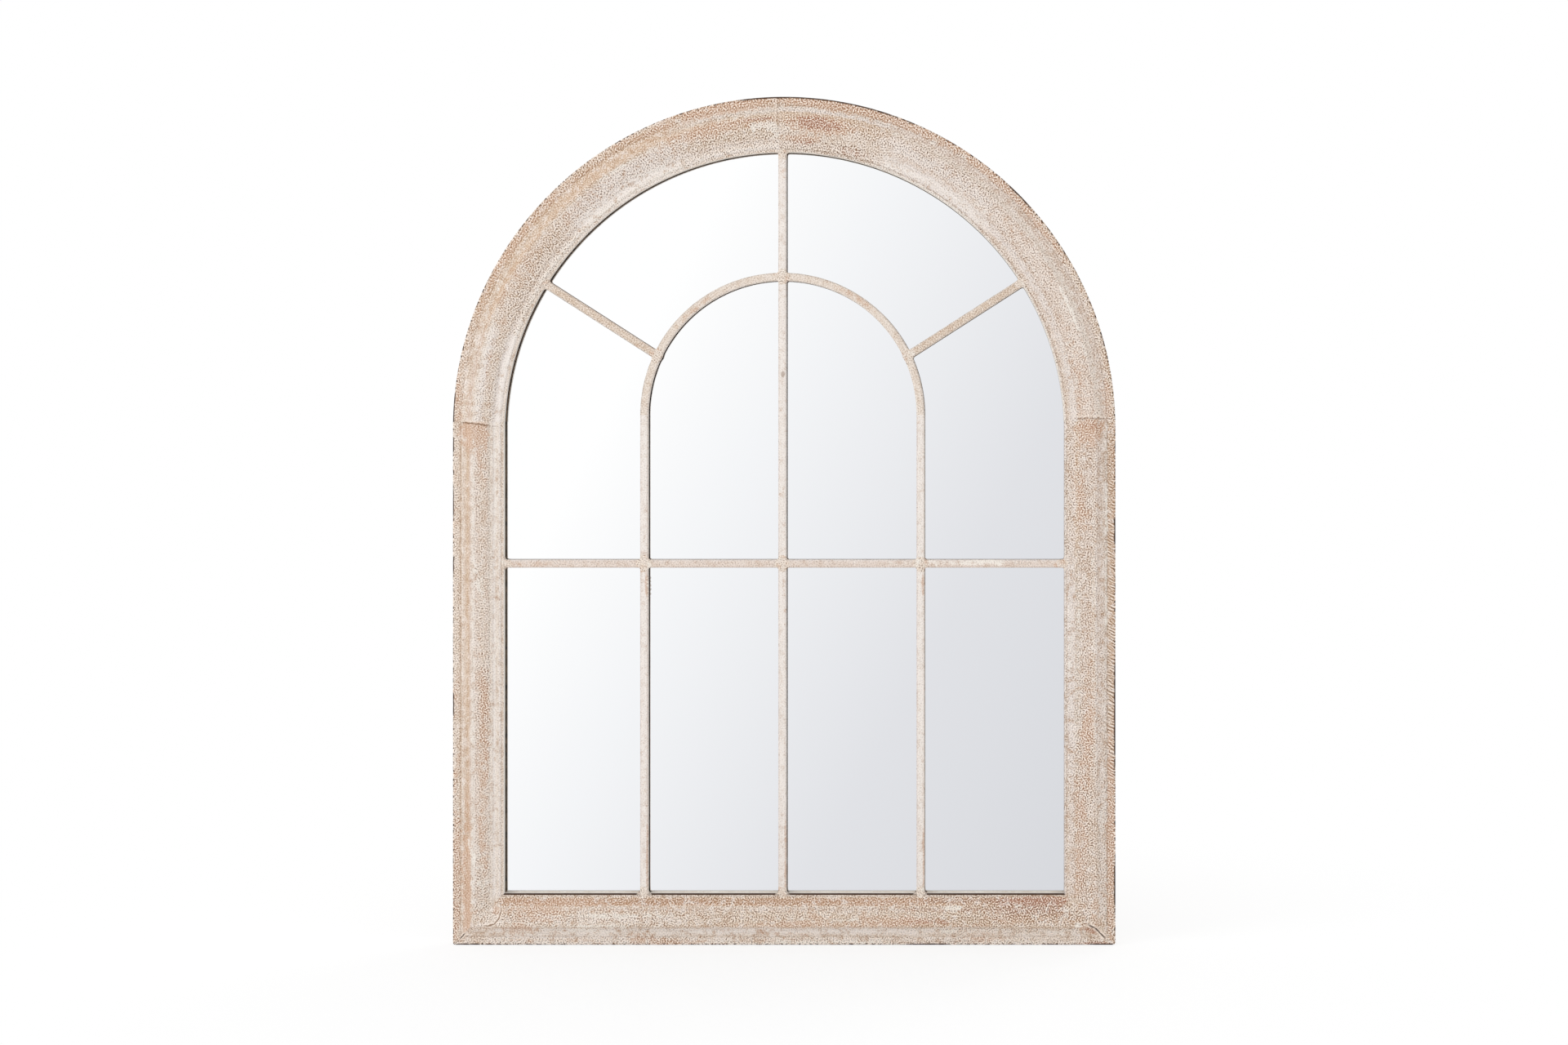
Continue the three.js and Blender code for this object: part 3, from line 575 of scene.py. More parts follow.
rightStileLook = {
    "seed": 5.1, "mottle": 2.3, "clay": 0.6, "chalk": 0.5, "edge": 0.53, "streak": 0.4,
    "quirks": (0.4, 0.3), "sightShadeLine": (52.2, 0.25), "lip": 0.0, "foot": 14.5,
    "darkRuns": [(60, 22), (430, 14), (243, 54)],
    "bands": [
        (0, "sand"), (4, "rust"), (7.6, "tan"), (8.6, "greyCream"), (10.5, "greyCream"), (13.5, "blush"),
        (17.5, "greyCream"), (20, "warmCream"), (23, "mauve"), (26, "warmCream"), (29, "mauve"),
        (37, "mauve"), (40.4, "rust"), (43, "mauve"), (46.5, "blush"), (49.6, "warmCream"), (51.4, "mauve"),
        (52.2, "lilac"), (54, "lilac")],
    "grains": [
        (0, 1.7), (7, 1.6), (8.6, 1.1), (10, 1.0), (17, 1.0), (20, 1.1), (25, 1.4), (37, 1.4), (40, 1.3),
        (43, 1.1), (47, 0.9), (50.4, 1.0), (54, 0.8)],
    "zones": [
        {"span": (90.0, 240.0),
         "bands": [
             (0, "rust"), (5, "tan"), (7.6, "sand"), (8.6, "pinkCream"), (10.5, "greyCream"),
             (13.5, "blush"), (17.5, "blush"), (20, "lilac"), (22.5, "cream"), (25, "pinkCream"),
             (28, "mauve"), (34, "mauve"), (38, "greyCream"), (41.2, "greyCream"), (43, "lilac"),
             (47, "lilac"), (49.6, "lilac"), (51.2, "greyCream"), (52.2, "pearl"), (54, "pearl")],
         "grains": [
             (0, 1.6), (7, 1.5), (8.6, 1.0), (10, 0.85), (17, 0.8), (20, 0.85), (25, 1.2), (37, 1.15),
             (40, 0.95), (43, 0.8), (49, 0.8), (50.4, 0.9), (54, 0.6)]},
        {"span": (370.0, 430.0),
         "bands": [
             (0, "rust"), (5, "tan"), (7.6, "tan"), (8.6, "pinkCream"), (10.5, "greyCream"),
             (13.5, "pinkCream"), (17.5, "mauve"), (20, "blush"), (22.5, "pinkCream"), (25, "mauve"),
             (28, "mauve"), (36, "mauve"), (40.6, "tan"), (43, "blush"), (47, "pinkCream"),
             (49.6, "pinkCream"), (51.2, "greyCream"), (52.2, "pearl"), (54, "pearl")],
         "grains": [
             (0, 1.6), (7, 1.5), (8.6, 1.0), (10, 0.85), (17, 0.8), (20, 0.9), (25, 1.1), (37, 1.1),
             (40, 1.1), (43, 1.1), (49, 1.15), (50.4, 1.1), (54, 0.7)]}],
    "patches": [
        ("tan", 538, 24, 7, 14, 0.4, 0.6), ("deep", 540, 23, 5, 13, 0.5, 0.4),
        ("rough", 430, 8, 120, 9, 0.5, -0.25), ("clay", 535, 25, 13, 13, 0.35, 1.1),
        ("clay", 95, 5, 105, 5, 0.6, 0.8), ("tan", 95, 4, 100, 4, 0.6, 0.4),
        ("rough", 462, 32, 28, 10, 0.6, 0.3), ("clay", 462, 32, 28, 8, 0.6, 0.3),
        ("rough", 190, 33, 70, 11, 0.6, 0.25), ("clay", 190, 33, 60, 8, 0.6, 0.4),
        ("chalk", 320, 41, 70, 7, 0.6, 0.15), ("rough", 320, 41, 70, 9, 0.6, -0.2),
        ("chalk", 430, 9.4, 110, 1.3, 0.5, 0.7), ("chalk", 420, 24, 120, 1.3, 0.6, 0.4),
        ("clay", 90, 36, 70, 6, 0.6, 0.5), ("chalk", 150, 14, 95, 4, 0.6, 0.3),
        ("clay", 480, 38, 60, 6, 0.6, 0.4), ("tan", 90, 28, 90, 10, 0.6, 0.15),
        ("tan", 400, 5, 120, 4, 0.5, 0.4), ("clay", 46, 22, 40, 5, 0.6, 0.4),
        ("tan", 232, 27, 60, 4, 0.6, 0.3), ("hatch", 300, 3.5, 165, 5.5, 0.25, 1.0),
        ("clay", 250, 26, 70, 7, 0.7, 0.4), ("chalk", 300, 47, 60, 3, 0.6, 0.4)],
    "corners": rightCorners, "cracks": [rightSplit], "seams": [rightSeam],
}

railLook = {
    "seed": 9.4, "mottle": 2.6, "clay": 0.8, "chalk": 0.5, "edge": 0.53, "streak": 0.5,
    "quirks": (0.15, 0.3), "sightShadeLine": (51.8, 1.6), "lip": 0.95, "lipTop": 18.0, "foot": 8.0,
    "darkRuns": [(-330, 12), (330, 12), (150, 20)],
    "bands": [
        (0, "chalk"), (3, "pearl"), (5, "paleCream"), (7.6, "pearl"), (9.8, "barCream"), (14, "barCream"),
        (17, "pearl"), (19.5, "sand"), (22, "sand"), (25.5, "paleCream"), (29, "blush"), (34, "sand"),
        (37.5, "mauve"), (40.4, "warmCream"), (42, "rust"), (43, "russet"), (46, "russet"), (48.6, "rust"),
        (49.8, "sand"), (51, "cream"), (54, "cream")],
    "grains": [
        (0, 1.1), (7, 1.0), (8.6, 0.75), (10, 0.6), (14, 0.45), (18, 0.8), (21, 1.1), (25, 1.15),
        (37, 1.15), (40, 1.0), (43, 0.95), (49, 1.0), (50.4, 1.1), (54, 0.8)],
    "zones": [
        {"span": (-140.0, -60.0),
         "bands": [
             (0, "chalk"), (3, "chalk"), (5, "barCream"), (7.6, "paleCream"), (9.8, "cream"), (14, "pearl"),
             (17, "pearl"), (19.5, "warmCream"), (21.4, "tan"), (25.5, "sand"), (29, "sand"), (34, "sand"),
             (37.5, "mauve"), (40.4, "warmCream"), (42, "rust"), (43, "russet"), (46, "russet"),
             (48.6, "rust"), (49.8, "sand"), (51, "cream"), (54, "cream")],
         "grains": [
             (0, 1.1), (7, 1.0), (8.6, 0.75), (10, 0.6), (14, 0.35), (17, 0.5), (20, 1.0), (25, 1.1),
             (37, 1.1), (40, 1.0), (43, 1.0), (49, 1.0), (50.4, 1.1), (54, 0.9)]},
        {"span": (90.0, 190.0),
         "bands": [
             (0, "chalk"), (3, "pearl"), (5, "barCream"), (7.6, "barCream"), (9.8, "warmCream"),
             (14, "paleCream"), (17, "barCream"), (19.2, "warmCream"), (21.2, "rust"), (25.5, "tan"),
             (29, "brown"), (31.5, "sand"), (34, "tan"), (37.5, "sienna"), (40.4, "tan"), (42, "rust"),
             (43, "rust"), (46, "sienna"), (48.6, "russet"), (49.8, "sand"), (51, "warmCream"),
             (54, "warmCream")],
         "grains": [
             (0, 1.2), (7, 1.0), (8.6, 0.8), (10, 0.6), (14, 0.7), (18, 1.0), (21, 1.3), (25, 1.3),
             (37, 1.3), (40, 1.2), (43, 1.2), (49, 1.3), (50.4, 1.3), (54, 1.2)]},
        {"span": (205.0, 240.0),
         "bands": [
             (0, "pearl"), (3, "paleCream"), (5, "cream"), (7.6, "paleCream"), (9.8, "cream"),
             (14, "paleCream"), (17, "cream"), (19.5, "tan"), (22, "sand"), (25.5, "rust"), (31, "russet"),
             (34, "sienna"), (37.5, "deepClay"), (40.4, "sienna"), (42, "deepClay"), (47, "deepClay"),
             (48.8, "deepClay"), (49.8, "russet"), (51, "sand"), (54, "sand")],
         "grains": [
             (0, 1.1), (7, 0.9), (8.6, 0.7), (10, 0.5), (14, 0.7), (18, 1.0), (21, 1.2), (25, 1.3),
             (37, 1.3), (40, 1.1), (43, 1.0), (49, 1.1), (50.4, 1.3), (54, 1.2)]}],
    "patches": [
        ("clay", -273, 16, 15, 7, 0.5, 0.9), ("clay", -233, 46, 60, 3.4, 0.35, 0.5),
        ("deep", 258, 46, 32, 4.4, 0.35, 1.0), ("clay", 262, 47, 34, 4, 0.4, 0.8),
        ("chalk", 262, 44, 42, 9, 0.3, -0.8), ("clay", 116, 25, 33, 5.5, 0.5, 0.7),
        ("tan", 116, 25, 33, 4.5, 0.5, 0.5), ("clay", 30, 22, 80, 4, 0.6, 0.6),
        ("chalk", 243.5, 42, 4.2, 3, 0.4, 1.4), ("chalk", 305, 21.5, 3.2, 3, 0.4, 1.1),
        ("clay", -190, 38, 80, 5, 0.7, 0.35), ("chalk", -225, 14, 60, 3.5, 0.6, 0.3),
        ("deep", 318, 15.5, 8, 3.2, 0.4, 0.7), ("clay", 318, 17, 9, 5, 0.4, 1.0),
        ("deep", 324, 1.6, 15, 2.0, 0.4, 1.1), ("clay", 90, 45, 60, 3.5, 0.5, 0.5),
        ("chalk", 190, 4, 60, 3, 0.6, 0.4), ("clay", -299, 37, 5, 4, 0.4, 1.0),
        ("rough", -180, 38, 120, 4.5, 0.4, -0.3), ("rough", -200, 32, 130, 6, 0.5, 0.25),
        ("chalk", -175, 31, 60, 2.2, 0.5, 0.8), ("chalk", -190, 21, 70, 1.8, 0.5, 0.5),
        ("chalk", 40, 28, 60, 2, 0.5, 0.5), ("rough", -120, 5, 18, 3, 0.5, 0.5),
        ("tan", -118, 4.5, 16, 3, 0.5, 0.7), ("tan", -215, 5, 14, 2.5, 0.5, 0.5),
        ("tan", -30, 4.5, 20, 2, 0.5, 0.5), ("tan", 140, 3.5, 40, 2, 0.5, 0.4),
        ("clay", -262, 33, 22, 8, 0.6, 0.7), ("tan", 142, 25, 32, 3.4, 0.35, 1.0),
        ("deep", 150, 25.5, 26, 2.2, 0.3, 0.6), ("chalk", 172, 14.5, 7, 3, 0.4, 0.8),
        ("chalk", 176, 38, 9, 4, 0.5, 0.9), ("rough", 255, 34, 60, 10, 0.5, 0.35),
        ("chalk", -4, 5.5, 6, 3, 0.5, 0.7)],
    "corners": leftCorners + rightCorners, "cracks": [leftCrack, leftNick, rightSplit],
}

# from the crown down to the springing
leftArchLook = {
    "seed": 13.2, "mottle": 1.9, "clay": 0.7, "chalk": 0.5, "edge": 0.53, "streak": 0.38,
    "quirks": (0.2, 0.08), "sightShadeLine": (52.2, 0.0), "lip": 0.5, "foot": 14.5,
    "darkRuns": [(520, 24), (980, 14)],
    "bands": [
        (0, "rust"), (5, "rust"), (8, "sand"), (10, "pinkCream"), (14, "greyCream"), (17, "sand"),
        (19, "tan"), (23, "rust"), (26, "tan"), (30, "sand"), (38, "sand"), (42, "blush"),
        (46, "paleCream"), (49.6, "pearl"), (52, "cream"), (54, "warmCream")],
    "grains": [
        (0, 1.5), (7, 1.3), (8.6, 0.95), (10, 0.85), (17, 0.9), (20, 1.15), (25, 1.5), (37, 1.45),
        (40, 1.3), (43, 1.3), (49, 1.2), (50.4, 1.2), (54, 1.0)],
    "zones": [
        {"span": (585.0, 640.0),
         "bands": [
             (0, "warmCream"), (5, "tan"), (7.6, "rust"), (10, "tan"), (13, "ochre"), (17, "tan"),
             (20, "ochre"), (23, "sand"), (25.5, "blush"), (28, "lilac"), (34, "lilac"), (37, "lilac"),
             (42, "pearl"), (46, "pearl"), (49.6, "chalk"), (52, "pearl"), (54, "cream")],
         "grains": [
             (0, 1.2), (7, 1.2), (9, 0.85), (12, 0.6), (18, 0.55), (22, 0.8), (26, 1.15), (38, 1.15),
             (42, 0.7), (46, 0.5), (49, 0.6), (50.4, 0.8), (54, 0.6)]},
        {"span": (735.0, 775.0),
         "bands": [
             (0, "sand"), (4, "rust"), (7.6, "ochre"), (10, "tan"), (13, "sand"), (17, "tan"), (20, "tan"),
             (24, "warmCream"), (28, "warmCream"), (33, "sand"), (37, "warmCream"), (40, "warmCream"),
             (44, "pinkCream"), (46, "paleCream"), (49.6, "chalk"), (52, "cream"), (54, "cream")],
         "grains": [
             (0, 1.2), (7, 0.9), (9, 0.75), (12, 0.55), (18, 0.5), (22, 0.8), (26, 1.1), (30, 1.35),
             (38, 1.4), (42, 1.3), (45, 1.2), (49, 1.1), (50.4, 1.0), (54, 0.8)]},
        {"span": (870.0, 905.0),
         "bands": [
             (0, "warmCream"), (5, "warmCream"), (7.6, "warmCream"), (9.4, "warmCream"), (14, "warmCream"),
             (17.5, "mauve"), (20.5, "warmCream"), (23, "paleCream"), (27, "pearl"), (30, "lilac"),
             (34, "warmCream"), (37, "warmCream"), (40, "greyCream"), (43, "lilac"), (46, "pearl"),
             (49.6, "pearl"), (52, "cream"), (54, "cream")],
         "grains": [
             (0, 1.2), (7, 0.9), (8.6, 0.6), (10, 0.55), (17, 0.4), (20, 0.5), (26, 0.7), (30, 0.95),
             (38, 1.05), (41, 0.8), (44, 0.45), (49, 0.3), (50.4, 0.5), (54, 0.5)]}],
    "patches": [
        ("chalk", 531, 29, 3.5, 5, 0.4, 1.3), ("chalk", 522, 27.5, 7, 2.8, 0.4, 1.1),
        ("chalk", 513, 29, 6, 4.6, 0.4, 1.3), ("chalk", 508, 38, 5, 8, 0.5, 0.5),
        ("deep", 525, 21.5, 15, 1.3, 0.4, 1.0), ("rough", 520, 28, 16, 6, 0.4, 0.3),
        ("clay", 560, 7, 60, 5, 0.5, 0.9), ("clay", 575, 25, 50, 7, 0.7, 0.8),
        ("tan", 800, 31, 60, 6, 0.6, 0.3), ("chalk", 540, 16, 40, 4, 0.5, 0.3),
        ("clay", 800, 5, 90, 4, 0.6, 0.5), ("chalk", 660, 33, 50, 8, 0.7, 0.3),
        ("clay", 976, 5, 26, 6, 0.6, 0.6), ("chalk", 700, 24, 80, 1.6, 0.5, 0.5),
        ("chalk", 860, 14, 60, 1.6, 0.5, 0.4), ("tan", 905, 4, 40, 4, 0.5, 0.3),
        ("clay", 840, 24, 50, 9, 0.6, 0.4)],
    "seams": [leftSeam, crownSeam],
}

# from the springing up to the crown
rightArchLook = {
    "seed": 21.6, "mottle": 1.6, "clay": 0.5, "chalk": 0.55, "edge": 0.53, "streak": 0.38,
    "quirks": (0.25, 0.5), "sightShadeLine": (52.2, 0.15), "lip": 0.6, "foot": 14.5,
    "darkRuns": [(455, 65), (250, 14)],
    "bands": [
        (0, "tan"), (5, "sand"), (7.2, "blush"), (9.4, "pinkCream"), (13.5, "mauve"), (15.6, "paleCream"),
        (19.5, "paleCream"), (22, "mauve"), (26, "blush"), (33, "blush"), (36.5, "mauve"), (39, "mauve"),
        (41, "lilac"), (44, "lilac"), (47, "blush"), (49.5, "warmCream"), (51.4, "blush"), (52.2, "chalk"),
        (54, "chalk")],
    "grains": [
        (0, 1.4), (7, 1.2), (8.6, 0.9), (10, 0.75), (15, 0.75), (20, 0.85), (25, 1.05), (37, 1.1),
        (40, 0.9), (43, 0.75), (48, 0.75), (50.4, 1.2), (54, 0.6)],
    "zones": [
        {"span": (235.0, 275.0),
         "bands": [
             (0, "rust"), (5, "sand"), (7.6, "pinkCream"), (9.4, "blush"), (13.5, "mauve"), (15.6, "cream"),
             (19.5, "cream"), (22, "blush"), (26, "lilac"), (32, "lilac"), (36, "blush"), (40.4, "lilac"),
             (43, "pearl"), (47, "pearl"), (50, "lilac"), (52.2, "chalk"), (54, "chalk")],
         "grains": [
             (0, 1.4), (7, 1.4), (8.6, 0.95), (10, 0.8), (15, 0.95), (20, 1.05), (25, 1.1), (33, 1.0),
             (36, 0.75), (40, 0.65), (43, 0.5), (48, 0.55), (50.4, 0.9), (54, 0.8)]},
        {"span": (375.0, 410.0),
         "bands": [
             (0, "rust"), (5, "rust"), (8, "tan"), (10, "greyCream"), (13.5, "lilac"), (15.6, "tan"),
             (19, "ochre"), (24, "ochre"), (27, "warmCream"), (37, "warmCream"), (41, "warmCream"),
             (46, "blush"), (50, "warmCream"), (52, "cream"), (54, "cream")],
         "grains": [
             (0, 1.5), (7, 1.4), (8.6, 1.1), (10, 0.9), (17, 1.0), (20, 1.35), (25, 1.35), (37, 1.1),
             (40, 1.3), (43, 1.5), (49, 1.7), (50.4, 1.5), (54, 1.2)]}],
    "patches": [
        ("clay", 464, 26, 32, 8, 0.5, 1.2), ("deep", 466, 25, 24, 6, 0.5, 1.1),
        ("tan", 464, 24, 28, 7, 0.5, 0.6), ("clay", 430, 6, 75, 5, 0.5, 1.0),
        ("rough", 350, 26, 90, 10, 0.6, 0.2), ("chalk", 150, 22, 100, 1.6, 0.5, 0.5),
        ("chalk", 230, 36, 90, 1.6, 0.5, 0.4), ("clay", 350, 4, 110, 3.5, 0.6, 0.6),
        ("clay", 480, 40, 22, 4, 0.6, 0.9), ("deep", 478, 44, 14, 3, 0.5, 0.6),
        ("deep", 425, 46, 14, 5, 0.6, 0.5), ("clay", 60, 34, 60, 7, 0.7, 0.5),
        ("clay", 24, 6, 24, 6, 0.6, 0.6), ("clay", 250, 5, 80, 4, 0.6, 0.6),
        ("tan", 5, 27, 5.4, 13, 0.3, 1.0), ("deep", 5, 27, 5, 12, 0.4, 0.6),
        ("clay", 5, 27, 6, 13, 0.3, 1.0)],
    "seams": [rightSeam, crownSeam],
}


# Section of the moulding in mm, as inset from the outer edge and height above the frame's back.
mouldingSection = {
    "start": (0, 0.7),
    "parts": [
        ("line", (0, 18.9), 6), ("bend", (0, 20.9), (2.2, 20.95), 5), ("line", (7.0, 21), 5),
        ("bend", (8.2, 21), (8.7, 20.6), 2), ("bend", (9.1, 21.3), (9.9, 21.6), 3),
        ("bend", (18.3, 21.9), (18.9, 25.8), 10), ("bend", (19.2, 27.9), (21.2, 27.9), 5),
        ("bend", (32.8, 26.5), (40.3, 23.3), 10), ("bend", (41.4, 23.6), (42.2, 22.6), 3),
        ("bend", (42.6, 21.9), (43.6, 21.75), 3), ("line", (49.0, 21.5), 5),
        ("bend", (49.9, 21.4), (50.3, 20.4), 3), ("bend", (50.6, 20.0), (51.3, 20.1), 2),
        ("line", (52.2, 20.1), 1), ("bend", (53.5, 20.1), (53.5, 18.8), 5), ("line", (53.5, 10.1), 6),
        ("line", (44.5, 10.1), 2), ("line", (44.5, 0.4), 3), ("line", (44.1, 0), 1), ("line", (0.7, 0), 6),
    ],
}


def barSection(lowered):
    # a bevelled bar, its front lowered a little where it passes behind another
    top = 19.4 - lowered
    return {
        "start": (-4.25, 11.5),
        "parts": [
            ("line", (-4.25, 17.3 - lowered), 5), ("bend", (-4.2, 17.9 - lowered), (-3.2, top - 0.2), 3),
            ("bend", (-2.8, top), (-2.2, top), 2), ("line", (2.2, top), 4),
            ("bend", (2.8, top), (3.2, top - 0.2), 2),
            ("bend", (4.2, 17.9 - lowered), (4.25, 17.3 - lowered), 3),
            ("line", (4.25, 11.5), 5), ("line", (4.15, 11.4), 1), ("line", (-4.15, 11.4), 3),
        ],
    }


def sectionPoints(section):
    points = [section["start"]]
    for part in section["parts"]:
        kind, steps = part[0], part[-1]
        x0, y0 = points[-1]
        for step in range(1, steps + 1):
            t = step / steps
            if kind == "line":
                x1, y1 = part[1]
                points.append((x0 + (x1 - x0) * t, y0 + (y1 - y0) * t))
            else:
                cx, cy = part[1]
                x1, y1 = part[2]
                points.append(tuple((1 - t) ** 2 * a + 2 * t * (1 - t) * c + t * t * b
                                    for a, c, b in ((x0, cx, x1), (y0, cy, y1))))
    return points


def sectionMesh(name, section):
    mesh = bpy.data.meshes.new(name)
    mesh.from_pydata([(x * mm, y * mm, 0) for x, y in sectionPoints(section)], [], [])
    return mesh


def sectionGrid(tree, into):
    # a sheet of points, one row for each station and one column for each corner of the section
    count = add(tree, "GeometryNodeAttributeDomainSize", {0: into["Geometry"]}).outputs["Point Count"]
    grid = add(tree, "GeometryNodeMeshGrid", {
        "Size X": 1.0, "Size Y": 1.0, "Vertices X": into["Stations"],
        "Vertices Y": plus(tree, count, 1.0)}).outputs[0]
    position = partsOf(tree, add(tree, "GeometryNodeInputPosition").outputs[0])
    along = plus(tree, position[0], 0.5)
    column = calc(tree, "ROUND", times(tree, plus(tree, position[1], 0.5), count))
    corner = add(tree, "GeometryNodeSampleIndex", {
        0: into["Geometry"], "Index": calc(tree, "MODULO", column, count)}, data_type="FLOAT_VECTOR")
    feed(tree, corner.inputs["Value"], add(tree, "GeometryNodeInputPosition").outputs[0])
    across = partsOf(tree, corner.outputs[0])
    return grid, along, across[0], across[1]


def finishPiece(tree, into, out, last):
    real = add(tree, "GeometryNodeRealizeInstances", {0: last.outputs[0]})
    painted = add(tree, "GeometryNodeSetMaterial", {0: real.outputs[0], "Material": into["Material"]})
    feed(tree, out[0], painted.outputs[0])


def finishSweep(tree, into, out, grid, length, inset, position):
    named = add(tree, "GeometryNodeStoreNamedAttribute", {
        0: grid, "Name": "UVMap", "Value": vectorOf(tree, length, inset, 0.0)},
                data_type="FLOAT2", domain="CORNER")
    placed = add(tree, "GeometryNodeSetPosition", {0: named.outputs[0], "Position": position})
    joined = add(tree, "GeometryNodeMergeByDistance", {0: placed.outputs[0], "Distance": 0.000005})
    finishPiece(tree, into, out, joined)


def handWorked(tree, into, length, inset, height):
    # the brushed front is a little uneven and the outer corner is knocked about
    place = vectorOf(tree, length, inset, into["Seed"])
    broad, knocks = noiseOf(tree, place, 85.0), noiseOf(tree, place, 170.0)
    fine = noiseOf(tree, place, 310.0, 1.0)
    front = smoothRange(tree, height, 0.0108, 0.0165)
    uneven = times(tree, timesPlus(tree, broad, 1.3, fine), 0.5)
    sink = times(tree, uneven, into["Wobble"])
    chips = times(tree, smoothRange(tree, knocks, 0.52, 0.68), smoothRange(tree, inset, 0.0026, 0.0006))
    sink = timesPlus(tree, chips, into["Chips"], sink)
    return minus(tree, height, times(tree, sink, front))


def makeArchSweep():
    tree, into, out = newTree("archSweep", "GeometryNodeTree", [
        ("Geometry", geometrySocket, None), ("Stations", "NodeSocketInt", 160), ("Radius", number, 0.3),
        ("Mid Radius", number, 0.3), ("Centre X", number, 0.0), ("Centre Z", number, 0.0),
        ("Growth", number, 0.0), ("Spring Cut", number, 0.0), ("Crown Cut", number, 0.0),
        ("Start At Crown", "NodeSocketBool", False), ("End At Crown", "NodeSocketBool", False),
        ("Wobble", number, 0.0), ("Chips", number, 0.0), ("Seed", number, 0.0),
        ("Material", "NodeSocketMaterial", None),
    ], [("Geometry", geometrySocket)])
    grid, share, inset, height = sectionGrid(tree, into)
    radius = minus(tree, into["Radius"], inset)
    centre = minus(tree, into["Centre Z"], times(tree, inset, into["Growth"]))
    spring = calc(tree, "ARCSINE", over(tree, minus(tree, into["Spring Cut"], centre), radius))
    crown = calc(tree, "ARCCOSINE", over(tree, minus(tree, into["Crown Cut"], into["Centre X"]), radius))
    start = add(tree, "GeometryNodeSwitch", {
        "Switch": into["Start At Crown"], "False": spring, "True": crown}, input_type="FLOAT").outputs[0]
    end = add(tree, "GeometryNodeSwitch", {
        "Switch": into["End At Crown"], "False": minus(tree, math.pi, spring), "True": crown},
              input_type="FLOAT").outputs[0]
    angle = plus(tree, start, times(tree, share, minus(tree, end, start)))
    length = times(tree, angle, into["Mid Radius"])
    height = handWorked(tree, into, length, inset, height)
    position = vectorOf(
        tree, timesPlus(tree, radius, calc(tree, "COSINE", angle), into["Centre X"]),
        times(tree, height, -1.0), timesPlus(tree, radius, calc(tree, "SINE", angle), centre))
    finishSweep(tree, into, out, grid, length, inset, position)
    return tree


def makeStraightSweep():
    tree, into, out = newTree("straightSweep", "GeometryNodeTree", [
        ("Geometry", geometrySocket, None), ("Stations", "NodeSocketInt", 160), ("Origin", vector, None),
        ("Across", vector, None), ("Along", vector, None), ("Start", number, 0.0),
        ("Start Slope", number, 0.0), ("End", number, 1.0), ("End Slope", number, 0.0), ("Corner", number, 0.0),
        ("Wobble", number, 0.0), ("Chips", number, 0.0), ("Seed", number, 0.0),
        ("Material", "NodeSocketMaterial", None),
    ], [("Geometry", geometrySocket)])
    grid, share, inset, height = sectionGrid(tree, into)
    start = timesPlus(tree, inset, into["Start Slope"], into["Start"])
    end = timesPlus(tree, inset, into["End Slope"], into["End"])
    length = plus(tree, start, times(tree, share, minus(tree, end, start)))
    height = handWorked(tree, into, length, inset, height)
    # the outer corner beyond a mitre is worn round
    least = times(tree, into["Corner"], 1 - math.sqrt(0.5))
    fromStart = minus(tree, length, into["Start"])
    fromEnd = minus(tree, into["End"], length)
    near = calc(tree, "MINIMUM", plus(tree, fromStart, minus(tree, 1.0, into["Start Slope"])),
                plus(tree, fromEnd, plus(tree, 1.0, into["End Slope"])))
    left = calc(tree, "MAXIMUM", minus(tree, into["Corner"], calc(tree, "MAXIMUM", near, least)), 0.0)
    square = minus(tree, times(tree, into["Corner"], into["Corner"]), times(tree, left, left))
    worn = minus(tree, into["Corner"], calc(tree, "SQRT", square))
    worn = minus(tree, worn, calc(tree, "LESS_THAN", into["Corner"], 0.00001))
    placedInset = calc(tree, "MAXIMUM", inset, worn)
    push = calc(tree, "MAXIMUM", minus(tree, least, near), 0.0)
    startSide = calc(tree, "LESS_THAN", fromStart, fromEnd)
    push = times(tree, push, timesPlus(tree, startSide, 2.0, -1.0))
    placedLength = plus(tree, length, push)
    position = vectorOf(tree, 0.0, times(tree, height, -1.0), 0.0)
    steps = [add(tree, "ShaderNodeVectorMath", {0: direction, "Scale": distance}, operation="SCALE").outputs[0]
             for direction, distance in ((into["Across"], placedInset), (into["Along"], placedLength))]
    for step in (*steps, into["Origin"]):
        position = add(tree, "ShaderNodeVectorMath", {0: position, 1: step}, operation="ADD").outputs[0]
    finishSweep(tree, into, out, grid, length, inset, position)
    return tree


def makeWireSweep():
    # a round wire along a line of points
    tree, into, out = newTree("wireSweep", "GeometryNodeTree", [
        ("Geometry", geometrySocket, None), ("Wire Radius", number, 0.0015), ("Sides", "NodeSocketInt", 20),
        ("Material", "NodeSocketMaterial", None),
    ], [("Geometry", geometrySocket)])
    line = add(tree, "GeometryNodeMeshToCurve", {0: into["Geometry"]})
    circle = add(tree, "GeometryNodeCurvePrimitiveCircle", {
        "Resolution": into["Sides"], "Radius": into["Wire Radius"]})
    tube = add(tree, "GeometryNodeCurveToMesh", {
        0: line.outputs[0], "Profile Curve": circle.outputs[0], "Fill Caps": True})
    finishPiece(tree, into, out, tube)
    return tree


def makeScatter():
    # one small fitting at each point, turned about the front-to-back axis
    tree, into, out = newTree("scatterFittings", "GeometryNodeTree", [
        ("Geometry", geometrySocket, None), ("Fitting", "NodeSocketObject", None),
        ("Material", "NodeSocketMaterial", None),
    ], [("Geometry", geometrySocket)])
    shape = add(tree, "GeometryNodeObjectInfo", {"Object": into["Fitting"], "As Instance": True})
    turn = add(tree, "GeometryNodeInputNamedAttribute", {"Name": "turn"}, data_type="FLOAT")
    rotation = vectorOf(tree, 0.0, turn.outputs[0], 0.0)
    placed = add(tree, "GeometryNodeInstanceOnPoints", {
        "Points": into["Geometry"], "Instance": shape.outputs["Geometry"], "Rotation": rotation})
    finishPiece(tree, into, out, placed)
    return tree


